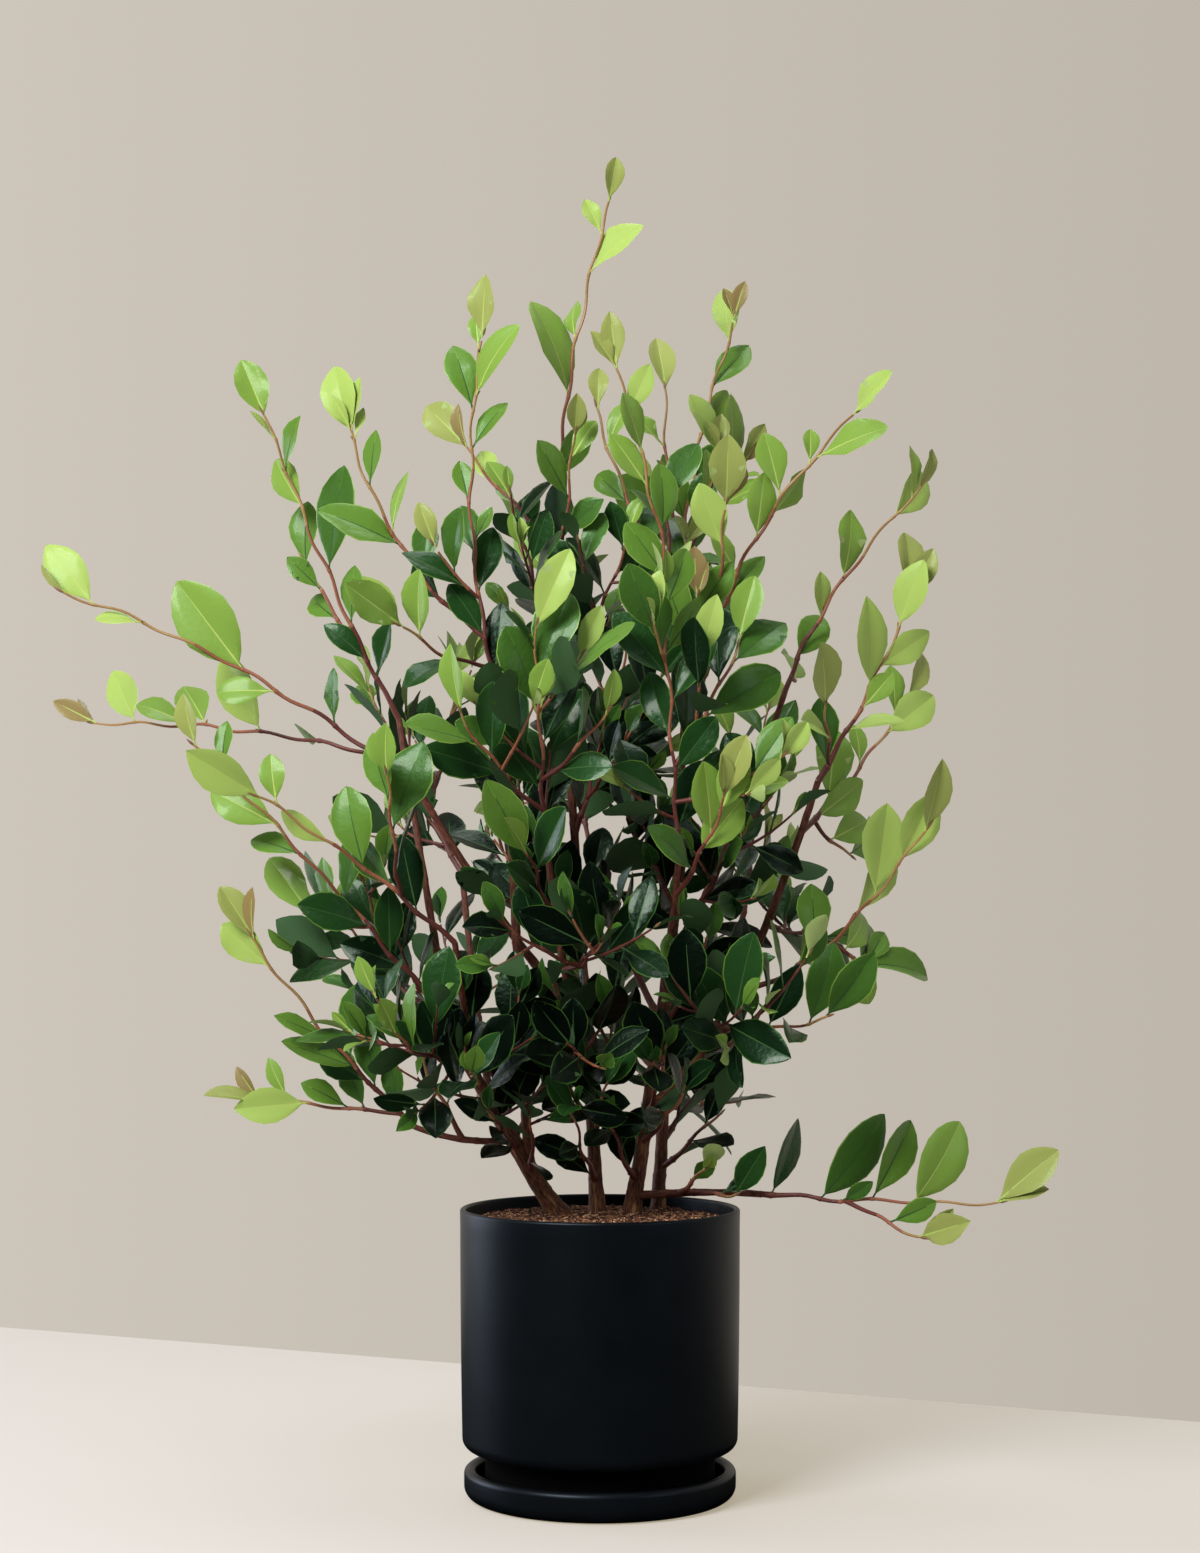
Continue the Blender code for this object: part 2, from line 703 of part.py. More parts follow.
def leaf_the_shoot(foliage, path, manner, bare):
    # Leaves stand alternately up a shoot, closer and smaller towards its tip, and one ends it.
    total = path_length(path)
    draw = foliage.random
    twist = draw.uniform(0.0, 360.0)
    done = max(bare * total, 0.008)
    while done < total - 0.008:
        share = done / total
        point, along = point_along(path, share)
        length = draw.uniform(*manner["leaf"]) * (1.0 - 0.22 * share ** 3)
        add_leaf(foliage, point, along, twist, length, LEAF_ROOT)
        twist += LEAF_TWIST
        done += manner["spacing"] * draw.uniform(0.8, 1.25) * (1.0 - 0.3 * share)
    point, along = point_along(path, 1.0)
    add_leaf(foliage, point, along, twist, TIP_LEAF_SHARE * manner["leaf"][0], TIP_LEAF_ROOT)


def add_twigs(foliage, path, manner):
    total = path_length(path)
    draw = foliage.random
    twist = draw.uniform(0.0, 360.0)
    done = max(manner["bare"] * total, 0.015) + draw.uniform(0.0, 0.02)
    while done < TWIGS_TO * total:
        point, along = point_along(path, done / total)
        for _ in range(TRIES):
            heading = slanted(along, draw.uniform(*TWIG_SLANT), twist + draw.uniform(-30.0, 30.0))
            length = draw.uniform(*manner["twig"])
            tip = point + heading * length + Vector((0.0, 0.0, TWIG_RISE * length))
            twig = [point, tip]
            wide = [radius + LIMB_MARGIN for radius in TWIG_RADII]
            off_stem = prism([point + heading * 2 * STEM_ROOM, tip], wide)
            if foliage.is_free(prism(twig, wide), off_stem, [point.lerp(tip, 0.5), tip]):
                foliage.twigs.append((twig, tapered(twig, TWIG_RADII)))
                foliage.take(*off_stem)
                leaf_the_shoot(foliage, twig, manner, TWIG_BARE)
                break
        twist += TWIG_TWIST
        done += manner["twig_spacing"] * draw.uniform(0.8, 1.2)


def tapered(path, radii):
    last = len(path) - 1
    return [radii[0] + (radii[1] - radii[0]) * index / last for index in range(len(path))]


def grow_mass(foliage, owner, paths, manner):
    foliage.begin(owner, SEED + owner)
    for path in paths:
        foliage.twigs.append((path, tapered(path, SHOOT_RADII)))
        foliage.take(*prism(path, tapered(path, SHOOT_RADII)))
    for path in paths:
        leaf_the_shoot(foliage, path, manner, manner["bare"])
    for path in paths:
        add_twigs(foliage, path, manner)
    foliage.end()


def largest_body(mesh):
    # Sealed hollows and loose scraps are shells apart from the outer one, so only that one is kept.
    bm = bmesh.new()
    bm.from_mesh(mesh)
    left = set(bm.verts)
    shells = []
    while left:
        shell = set()
        edge_of_growth = [left.pop()]
        while edge_of_growth:
            vert = edge_of_growth.pop()
            shell.add(vert)
            for edge in vert.link_edges:
                other = edge.other_vert(vert)
                if other in left:
                    left.remove(other)
                    edge_of_growth.append(other)
        shells.append(shell)
    shells.sort(key=len)
    for shell in shells[:-1]:
        bmesh.ops.delete(bm, geom=list(shell), context="VERTS")
    bm.to_mesh(mesh)
    bm.free()


def build_mass(name, foliage, leaf, section, material, parts):
    pieces = bpy.data.collections.new(f"{name}_pieces")
    bpy.context.scene.collection.children.link(pieces)
    stem = None
    for index, (path, radii) in enumerate(foliage.twigs):
        holder = pieces if index else parts
        twig = three_sided_tube(f"{name}_{index}" if index else name, path, radii, section, holder)
        stem = stem or twig
    for index, place in enumerate(foliage.leaves):
        blade = new_object(f"{name}_leaf_{index}", leaf, pieces)
        blade.matrix_world = place
    join = stem.modifiers.new("join", "BOOLEAN")
    join.operation = "UNION"
    join.operand_type = "COLLECTION"
    join.collection = pieces
    join.solver = "MANIFOLD"
    apply_modifiers(stem)
    for obj in list(pieces.objects):
        bpy.data.objects.remove(obj, do_unlink=True)
    bpy.data.collections.remove(pieces)
    largest_body(stem.data)
    stem.data.materials.clear()
    stem.data.materials.append(material)
    return stem


def solid_tree(obj):
    bpy.context.view_layer.update()
    return BVHTree.FromObject(obj, bpy.context.evaluated_depsgraph_get())


def main():
    clear_scene()
    parts = new_collection("camellia_shrub")
    cutters = new_collection("cutters")
    ceramic = new_material("black_glaze", (0.010, 0.012, 0.014), 0.42)
    earth = new_material("potting_soil", (0.075, 0.040, 0.022), 0.95)
    bark = new_material("bark", (0.120, 0.065, 0.040), 0.80)
    young = new_material("young_leaves", (0.210, 0.400, 0.080), 0.45)
    old = new_material("old_leaves", (0.020, 0.075, 0.030), 0.35)
    pot = turned("pot", pot_profile(), ceramic, parts)
    saucer = turned("saucer", saucer_profile(), ceramic, parts)
    soil = turned("soil", soil_profile(), earth, parts)
    limbs = plan_limbs()
    build_limbs(limbs, bark, parts, cutters)
    plans = plan_shoots(limbs)
    solids = [pot, saucer, soil] + [limb["object"] for limb in limbs.values()]
    leaf = leaf_mesh()
    section = triangle_section(cutters)
    foliage = Foliage(plans, [solid_tree(obj) for obj in solids], leaf)
    for owner, (name, (manner, _)) in enumerate(MASSES.items()):
        grow_mass(foliage, owner, plans[name], manner)
        build_mass(name, foliage, leaf, section, old if manner is FULL else young, parts)
    bpy.data.meshes.remove(leaf)


main()
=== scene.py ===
import math
import random

import bpy
import numpy as np
from mathutils import Matrix, Vector
from mathutils.bvhtree import BVHTree


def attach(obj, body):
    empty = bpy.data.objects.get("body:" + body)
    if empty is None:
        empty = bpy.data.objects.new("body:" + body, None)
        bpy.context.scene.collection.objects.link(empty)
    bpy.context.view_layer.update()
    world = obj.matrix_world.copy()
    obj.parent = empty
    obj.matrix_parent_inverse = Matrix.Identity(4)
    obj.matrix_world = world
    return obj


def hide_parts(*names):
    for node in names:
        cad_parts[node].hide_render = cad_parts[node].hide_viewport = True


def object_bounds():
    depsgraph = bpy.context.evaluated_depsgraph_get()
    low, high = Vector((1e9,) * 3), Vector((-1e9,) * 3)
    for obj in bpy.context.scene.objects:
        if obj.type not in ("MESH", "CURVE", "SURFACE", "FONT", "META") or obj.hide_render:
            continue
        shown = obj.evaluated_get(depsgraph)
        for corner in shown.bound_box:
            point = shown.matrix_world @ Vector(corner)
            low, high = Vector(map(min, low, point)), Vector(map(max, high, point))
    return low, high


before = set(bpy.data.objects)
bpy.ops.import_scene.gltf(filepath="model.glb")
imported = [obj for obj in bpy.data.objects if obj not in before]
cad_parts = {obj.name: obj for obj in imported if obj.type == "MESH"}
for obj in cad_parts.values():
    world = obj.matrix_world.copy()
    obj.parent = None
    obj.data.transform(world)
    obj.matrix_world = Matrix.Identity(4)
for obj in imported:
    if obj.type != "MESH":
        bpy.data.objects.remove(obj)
cadBox = [list(corner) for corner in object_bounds()]
print("frame:", len(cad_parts), "solids,", [round(side, 4) for side in cadBox[1]])

# Working parts: colours, nodes, meshes


def linear(hexColour):
    # "#RRGGBB" to linear light, by undoing the sRGB curve
    channels = np.array([int(hexColour[i:i + 2], 16) for i in (1, 3, 5)]) / 255
    light = np.where(channels <= 0.04045, channels / 12.92, ((channels + 0.055) / 1.055) ** 2.4)
    return (*light.tolist(), 1.0)


def joinUp(tree, node, links):
    for socket, source in links.items():
        tree.links.new(source, node.inputs[socket])


def addNode(tree, kind, values=None, links=None, **settings):
    node = tree.nodes.new(kind)
    for name, value in settings.items():
        setattr(node, name, value)
    for socket, value in (values or {}).items():
        node.inputs[socket].default_value = value
    joinUp(tree, node, links or {})
    return node


def newMaterial(name, sockets):
    material = bpy.data.materials.new(name)
    material.use_nodes = True
    shader = material.node_tree.nodes["Principled BSDF"]
    for socket, value in sockets.items():
        shader.inputs[socket].default_value = value
    return material, material.node_tree, shader


def makePiece(name, surfaces, materials, sharp=75.0, marks=None):
    # Joins surfaces, each (corners, [(faces, slot numbers), ...]), into one object at the origin.
    # Marks are values kept at each corner under a name, for a material to read
    corners = []
    faces = []
    numbers = []
    start = 0
    for points, patches in surfaces:
        for patch, number in patches:
            faces += (np.asarray(patch) + start).tolist()
            numbers.append(np.broadcast_to(number, len(patch)))
        corners.append(points)
        start += len(points)
    mesh = bpy.data.meshes.new(name)
    mesh.from_pydata(np.concatenate(corners).tolist(), [], faces)
    for material in materials:
        mesh.materials.append(material)
    mesh.polygons.foreach_set("material_index", np.concatenate(numbers).astype(np.int32))
    mesh.shade_smooth()
    mesh.set_sharp_from_angle(angle=math.radians(sharp))
    for mark, values in (marks or {}).items():
        kind, field = ("FLOAT_VECTOR", "vector") if values.ndim == 2 else ("FLOAT", "value")
        mesh.attributes.new(mark, kind, "POINT").data.foreach_set(field, values.astype(np.float32).ravel())
    piece = bpy.data.objects.new(name, mesh)
    bpy.context.scene.collection.objects.link(piece)
    return piece


def skinMaterial(name, sockets, grain, relief):
    # A plain skin with fine relief all over it
    material, tree, shader = newMaterial(name, sockets)
    place = addNode(tree, "ShaderNodeTexCoord")
    rises = addNode(tree, "ShaderNodeTexNoise", grain, {"Vector": place.outputs["Object"]})
    bump = addNode(tree, "ShaderNodeBump", relief, {"Height": rises.outputs["Fac"]})
    joinUp(tree, shader, {"Normal": bump.outputs["Normal"]})
    return material


def settle(piece, slot, *nodes):
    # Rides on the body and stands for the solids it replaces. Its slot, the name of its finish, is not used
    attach(piece, "root")
    if nodes:
        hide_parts(*nodes)
    return piece


# Shapes carried along a path


def unit(vectors):
    return vectors / np.linalg.norm(vectors, axis=-1, keepdims=True)


def saggingPath(start, tip, sag, step):
    # A parabola from start to tip, its middle lower than the straight line by sag times the length
    start = np.array(start, float)
    tip = np.array(tip, float)
    length = np.linalg.norm(tip - start)
    low = (start + tip) / 2 - np.array([0.0, 0.0, 2 * sag * length])
    t = np.linspace(0, 1, max(4, round(length / step) + 1))[:, None]
    return start * (1 - t) ** 2 + low * 2 * t * (1 - t) + tip * t ** 2


def reachOf(path):
    # How far along the path each of its points is
    return np.concatenate([[0.0], np.cumsum(np.linalg.norm(np.diff(path, axis=0), axis=1))])


def pointsAlong(path, far):
    reach = reachOf(path)
    return np.stack([np.interp(far, reach, path[:, axis]) for axis in range(3)], axis=-1)


def spotAlong(path, share):
    # The point this share of the way along a path, and the path's direction there
    total = reachOf(path)[-1]
    before, spot, after = pointsAlong(path, share * total + np.array([-0.002, 0.0, 0.002]))
    return Vector(spot), Vector(after - before).normalized()


def ringFaces(rings, around, flipped=False):
    # A face for each step around between one ring of corners and the next, and a face to close each end
    here = np.arange(rings - 1)[:, None] * around + np.arange(around)
    there = np.arange(rings - 1)[:, None] * around + (np.arange(around) + 1) % around
    quads = np.stack([here, here + around, there + around, there], axis=-1)
    ends = np.array([np.arange(around), (rings - 1) * around + np.arange(around)[::-1]])
    if flipped:
        return np.roll(quads[..., ::-1], 1, axis=-1), ends[:, ::-1]
    return quads, ends


def tube(path, radii, sides, number=0):
    # A ring square to the path at each of its points, its radius one number or one for each
    # corner: path + radius * (across * cos(angle) + up * sin(angle)), closed by flat ends
    rings = len(path)
    ahead = unit(np.gradient(path, axis=0))
    lean = np.eye(3)[np.abs(ahead.mean(axis=0)).argmin()]
    across = unit(np.cross(ahead, lean))
    up = np.cross(ahead, across)
    angles = np.arange(sides) * math.tau / sides
    radii = np.asarray(radii, float).reshape(rings, -1, 1)
    ring = across[:, None] * np.cos(angles)[:, None] + up[:, None] * np.sin(angles)[:, None]
    corners = (path[:, None] + radii * ring).reshape(-1, 3)
    quads, ends = ringFaces(rings, sides, flipped=True)
    numbers = np.broadcast_to(np.asarray(number).reshape(-1, 1), (rings - 1, sides))
    return corners, [(quads.reshape(-1, 4), numbers.reshape(-1)), (ends, numbers[[0, -1], 0])]


def turned(profile, steps, number=0):
    # A profile of (radius, height) from top to bottom, turned about Z: (r cos a, r sin a, z). The
    # number of the slot is one for all, or one for each band of the profile
    profile = np.array(profile, float)
    angles = np.arange(steps) * math.tau / steps
    rows = len(profile)
    radius = profile[:, 0, None]
    height = np.broadcast_to(profile[:, 1, None], (rows, steps))
    corners = np.stack([radius * np.cos(angles), radius * np.sin(angles), height], axis=-1)
    quads, ends = ringFaces(rows, steps)
    numbers = np.broadcast_to(number, rows - 1)
    return corners.reshape(-1, 3), [(quads.reshape(-1, 4), numbers.repeat(steps)), (ends, numbers[[0, -1]])]


def arc(centre, radius, first, last, count):
    angles = np.radians(np.linspace(first, last, count))
    return [(centre[0] + radius * math.cos(a), centre[1] + radius * math.sin(a)) for a in angles]


def rounded(points, radius, count=5):
    # A profile whose inner corners are each eased over the given radius, as a cut across them
    eased = [points[0]]
    for before, corner, after in zip(points, points[1:], points[2:]):
        before, corner, after = (np.array(p, float) for p in (before, corner, after))
        cut = min(radius, np.linalg.norm(before - corner) * 0.45, np.linalg.norm(after - corner) * 0.45)
        start = corner + unit(before - corner) * cut
        end = corner + unit(after - corner) * cut
        for t in np.linspace(0, 1, count):
            eased.append(tuple(start * (1 - t) ** 2 + corner * 2 * t * (1 - t) + end * t ** 2))
    return eased + [points[-1]]


# The stage: pale floor, plain backdrop, soft light from the upper left

stage = {
    "floor": "#9C9CA5",
    "floorGlow": "#A69C86",  # light that the floor gives back from all round, so that shadows on it stay soft
    "floorReach": 6.0,
    "wallLitLeft": "#CFC7BC",
    "wallDimRight": "#BEB6AA",
    "wallGlow": 1.0,
    "wallFrom": (-0.656, 0.868),  # two points that the wall's foot passes through
    "wallTo": (0.530, 0.307),
    "wallReach": 2.2,
    "wallHeight": 4.0,
    "skyColour": "#DAD6D0",
    "sky": 0.17,
    "camera": (0.0, -2.05, 0.436),
    "lens": 61.9,
    "shift": 0.0976,
}


def makeStage():
    material, tree, shader = newMaterial("paintedFloor", {
        "Roughness": 0.85, "Base Color": linear(stage["floor"]),
        "Emission Color": linear(stage["floorGlow"]), "Emission Strength": 1.0})
    grain = addNode(tree, "ShaderNodeTexNoise", {"Scale": 60.0, "Detail": 3.0})
    relief = {"Strength": 0.05, "Distance": 0.001}
    bump = addNode(tree, "ShaderNodeBump", relief, {"Height": grain.outputs["Fac"]})
    joinUp(tree, shader, {"Normal": bump.outputs["Normal"]})
    corners = np.array([[-1, -1, 0], [1, -1, 0], [1, 1, 0], [-1, 1, 0]]) * stage["floorReach"]
    floor = makePiece("floor", [(corners, [(np.array([[0, 1, 2, 3]]), 0)])], [material])
    floor.visible_glossy = False

    # The backdrop glows, as paper that is lit from its own side, with a painted falloff of light: lighter at
    # the left, by the key lamp, and darker to the right. It is open from behind
    start = np.array(stage["wallFrom"])
    end = np.array(stage["wallTo"])
    ahead = unit(end - start)
    ends = [start - ahead * stage["wallReach"], end + ahead * stage["wallReach"]]
    top = stage["wallHeight"]
    corners = np.array([[*ends[0], 0], [*ends[1], 0], [*ends[1], top], [*ends[0], top]])
    material, tree, shader = newMaterial("paperBackdrop", {})
    place = addNode(tree, "ShaderNodeTexCoord")
    split = addNode(tree, "ShaderNodeSeparateXYZ", links={"Vector": place.outputs["Object"]})
    across = {"From Min": -0.8, "From Max": 0.6}
    share = addNode(tree, "ShaderNodeMapRange", across, {"Value": split.outputs["X"]})
    # Painted falloff of light across the backdrop, from the lit left to the dimmer right
    shades = {6: linear(stage["wallLitLeft"]), 7: linear(stage["wallDimRight"])}
    colour = addNode(tree, "ShaderNodeMix", shades, {0: share.outputs["Result"]}, data_type="RGBA")
    glow = addNode(tree, "ShaderNodeEmission", {"Strength": stage["wallGlow"]}, {"Color": colour.outputs[2]})
    clear = addNode(tree, "ShaderNodeBsdfTransparent")
    facing = addNode(tree, "ShaderNodeNewGeometry")
    sides = {0: facing.outputs["Backfacing"], 1: glow.outputs[0], 2: clear.outputs[0]}
    pick = addNode(tree, "ShaderNodeMixShader", links=sides)
    joinUp(tree, tree.nodes["Material Output"], {"Surface": pick.outputs[0]})
    wall = makePiece("backdrop", [(corners, [(np.array([[0, 1, 2, 3]]), 0)])], [material])
    wall.visible_diffuse = False

    world = bpy.data.worlds.new("studio")
    world.use_nodes = True
    background = world.node_tree.nodes["Background"]
    background.inputs["Color"].default_value = linear(stage["skyColour"])
    background.inputs["Strength"].default_value = stage["sky"]
    world.cycles_visibility.glossy = False  # so that gloss shows the lamps, floor and backdrop alone
    bpy.context.scene.world = world
    bpy.context.scene.view_settings.view_transform = "Standard"

    lamps = {
        # name: (place, aim, width, power, colour)
        "keySoftbox": ((-1.25, -1.75, 1.95), (0.0, 0.0, 0.55), 1.1, 86.0, "#FFFCF8"),
        "sideSoftbox": ((-1.8, 0.70, 0.55), (0.0, 0.0, 0.30), 1.1, 17.0, "#E8F0FF"),
        "fillSoftbox": ((1.9, -1.5, 1.1), (0.0, 0.0, 0.5), 1.3, 8.0, "#F4F8FF"),
        "topSoftbox": ((0.1, 0.1, 2.6), (0.0, 0.0, 0.5), 1.2, 24.0, "#FFFFFF"),
    }
    for name, (spot, aim, width, power, colour) in lamps.items():
        lamp = bpy.data.lights.new(name, "AREA")
        lamp.shape = "SQUARE"
        lamp.size = width
        lamp.energy = power
        lamp.color = linear(colour)[:3]
        holder = bpy.data.objects.new(name, lamp)
        holder.location = spot
        holder.rotation_euler = (Vector(aim) - Vector(spot)).to_track_quat("-Z", "Y").to_euler()
        bpy.context.scene.collection.objects.link(holder)

    lens = bpy.data.cameras.new("camera")
    lens.lens = stage["lens"]
    lens.sensor_width = 36.0
    lens.shift_y = stage["shift"]
    camera = bpy.data.objects.new("camera", lens)
    camera.location = stage["camera"]
    camera.rotation_euler = (math.radians(90), 0.0, 0.0)
    bpy.context.scene.collection.objects.link(camera)
    bpy.context.scene.camera = camera


makeStage()
print("stage, lamps and camera")


def ripple(points, size, seed, waves=9):
    # A smooth random height between -1 and 1: a mean of sines that run all ways, each about size long
    draw = np.random.default_rng(seed)
    ways = unit(draw.normal(size=(waves, points.shape[-1])))
    lengths = size * draw.uniform(0.7, 1.6, waves)
    starts = draw.uniform(0, math.tau, waves)
    return np.sin(points @ (ways * math.tau / lengths[:, None]).T + starts).mean(axis=-1) * 2.2


# Pot and saucer: stoneware in a satin black glaze

pot = {
    "lip": 0.1074, "rim": 0.2215, "roll": 0.0022, "wallTop": 0.1072, "wallFoot": 0.1056,
    "footHeight": 0.038, "wall": 0.0044, "corner": 0.0085, "foot": 0.088, "footWall": 0.008,
    "floor": 0.022, "shoulder": 0.018, "footEase": 0.0015, "saucerFloor": 0.0075, "gap": 0.0003, "steps": 144,
}
saucer = {
    "radius": 0.1042, "height": 0.0235, "roll": 0.0045, "corner": 0.010, "floor": 0.0075, "fillet": 0.004,
}
pole = 0.001  # how near the axis a turned profile stops, where a flat face closes it


def satinBlackGlaze():
    # A matt-black glaze fired on stoneware: near black with a cold cast, broad soft reflections,
    # faint pooling of the glaze (30 mm) and a fine orange peel (1.5 mm) that loosens the highlights
    material, tree, shader = newMaterial("satinBlackGlaze", {
        "IOR": 1.5, "Specular IOR Level": 0.26, "Specular Tint": linear("#C4DAF4")})
    place = addNode(tree, "ShaderNodeTexCoord")
    spot = {"Vector": place.outputs["Object"]}
    pooling = addNode(tree, "ShaderNodeTexNoise", {"Scale": 33.0, "Detail": 2.0}, spot)
    tints = {6: linear("#06080A"), 7: linear("#0A0D10")}
    colour = addNode(tree, "ShaderNodeMix", tints, {0: pooling.outputs["Fac"]}, data_type="RGBA")
    peel = addNode(tree, "ShaderNodeTexNoise", {"Scale": 650.0, "Detail": 2.0}, spot)
    dulled = {"To Min": 0.36, "To Max": 0.44}
    roughness = addNode(tree, "ShaderNodeMapRange", dulled, {"Value": pooling.outputs["Fac"]})
    relief = {"Strength": 0.12, "Distance": 0.0004}
    bump = addNode(tree, "ShaderNodeBump", relief, {"Height": peel.outputs["Fac"]})
    joinUp(tree, shader, {"Base Color": colour.outputs[2], "Roughness": roughness.outputs["Result"],
                          "Normal": bump.outputs["Normal"]})
    return material


def potProfile():
    # From the floor inside up the wall, over the rolled lip, down the wall and round under the foot
    p = pot
    inner = p["wallFoot"] - p["wall"]
    profile = [(pole, p["floor"]), (p["foot"] - p["footWall"], p["floor"])]
    profile += [(p["foot"] - p["footWall"], p["footHeight"]), (inner, p["footHeight"] + p["shoulder"])]
    profile += arc((p["lip"] - p["roll"], p["rim"] - p["roll"]), p["roll"], 180, 0, 13)
    for t in np.linspace(0.04, 0.98, 14):  # the wall draws in a little towards its foot
        height = p["rim"] - 3 * p["roll"] + (p["footHeight"] + p["corner"] - p["rim"] + 3 * p["roll"]) * t
        profile.append((p["wallTop"] + (p["wallFoot"] - p["wallTop"]) * t ** 2, height))
    profile += arc((p["wallFoot"] - p["corner"], p["footHeight"] + p["corner"]), p["corner"], 0, -90, 11)
    base = p["saucerFloor"] + p["gap"]
    return profile + rounded([(p["foot"], p["footHeight"]), (p["foot"], base), (pole, base)], p["footEase"])


def saucerProfile():
    # From the floor inside out to its fillet, over the rolled rim and round under to the flat underside
    s = saucer
    inner = s["radius"] - 2 * s["roll"]
    profile = [(pole, s["floor"]), (pot["foot"] + 0.001, s["floor"])]
    profile += arc((inner - s["fillet"], s["floor"] + s["fillet"]), s["fillet"], -80, 0, 6)
    profile += arc((s["radius"] - s["roll"], s["height"] - s["roll"]), s["roll"], 180, 0, 15)
    profile += arc((s["radius"] - s["corner"], s["corner"]), s["corner"], 0, -84, 12)
    return profile + [(pole, 0.0)]


def turnedPot(profile, name, bare):
    # Bare is the part of the profile, as (outermost radius, greatest height), that is drawn in dull
    # near-black clay as painted shade
    middles = [((r + s) / 2, (z + w) / 2) for (r, z), (s, w) in zip(profile, profile[1:])]
    number = np.array([int(radius < bare[0] and height < bare[1]) for radius, height in middles])
    return makePiece(name, [turned(profile, pot["steps"], number)], [glaze, shadedFootClay], 40)


glaze = satinBlackGlaze()
# Black clay, dull and dry: the pot's foot, wiped clean of glaze where it stands, and the saucer's well, both
# made near black as painted shade because they lie in shadow in the gap
shadedFootClay, _, _ = newMaterial("shadedBlackClay", {
    "Base Color": linear("#030303"), "Roughness": 0.9, "Specular IOR Level": 0.05})
# The painted shade reaches this far: the foot ring, and the well of the saucer
footRing = (pot["foot"] + 0.001, pot["footHeight"] + 0.0005)
saucerWell = (pot["foot"] + 0.0085, 0.0165)
settle(turnedPot(potProfile(), "potShell", footRing), "black_glaze", "pot")
settle(turnedPot(saucerProfile(), "saucerDish", saucerWell), "black_glaze", "saucer")
print("pot and saucer")

# Potting soil: a mound of coir and peat with crumbs and strands lying on it

soil = {
    "level": 0.2155, "edge": 0.2095, "flat": 0.088, "wall": 0.1016, "steps": 180,
    "lumps": ((0.022, 0.0014), (0.008, 0.0009), (0.0035, 0.0007)),  # size and height, metres
    "crumbs": 1500, "crumb": (0.0007, 0.0021), "crumbsOff": 0.003,  # the wall, by so much
    "strands": 520, "strand": (0.003, 0.010), "strandsTo": 0.086, "strandThick": (0.00012, 0.00026),
    "browns": ("#2E1C15", "#684033", "#A2704E", "#DCAC82"),
}


def dampCoir():
    # Coir and peat: rough and dull, dark where damp, with grains of 1.2 mm and flecks of dry tan fibre
    material, tree, shader = newMaterial("dampCoir", {"Roughness": 0.95, "Specular IOR Level": 0.2})
    place = addNode(tree, "ShaderNodeTexCoord")
    spot = {"Vector": place.outputs["Object"]}
    grains = addNode(tree, "ShaderNodeTexVoronoi", {"Scale": 420.0}, spot)
    damp = addNode(tree, "ShaderNodeTexNoise", {"Scale": 90.0, "Detail": 4.0}, spot)
    value = addNode(tree, "ShaderNodeSeparateColor", links={"Color": grains.outputs["Color"]})
    both = {0: value.outputs[0], 1: damp.outputs["Fac"]}
    mixed = addNode(tree, "ShaderNodeMath", links=both, operation="MULTIPLY")
    ramp = addNode(tree, "ShaderNodeValToRGB", links={"Fac": mixed.outputs[0]})
    ramp.color_ramp.elements[0].color = linear("#1E120E")
    ramp.color_ramp.elements[1].position = 0.75
    ramp.color_ramp.elements[1].color = linear("#CA976C")
    middle = ramp.color_ramp.elements.new(0.32)
    middle.color = linear("#643E30")
    raised = {"Height": grains.outputs["Distance"]}
    bump = addNode(tree, "ShaderNodeBump", {"Strength": 0.8, "Distance": 0.001}, raised)
    joinUp(tree, shader, {"Base Color": ramp.outputs["Color"], "Normal": bump.outputs["Normal"]})
    return material


def soilHeight(x, y):
    # Level in the middle and falling to the wall, with lumps of each size added
    out = np.clip((np.hypot(x, y) - soil["flat"]) / (soil["wall"] - soil["flat"]), 0, 1)
    height = soil["level"] - 0.0022 - (soil["level"] - soil["edge"] - 0.002) * out ** 1.6
    flat = np.stack([x, y], axis=-1)
    for number, (size, rise) in enumerate(soil["lumps"]):
        height = height + rise * ripple(flat, size, 70 + number, 14)
    return height


def anywhere(draw, reach):
    # A point of a disc, as likely in one part as in another
    angle, out = draw.uniform(0, math.tau), math.sqrt(draw.uniform(0, 1)) * reach
    return out * math.cos(angle), out * math.sin(angle)


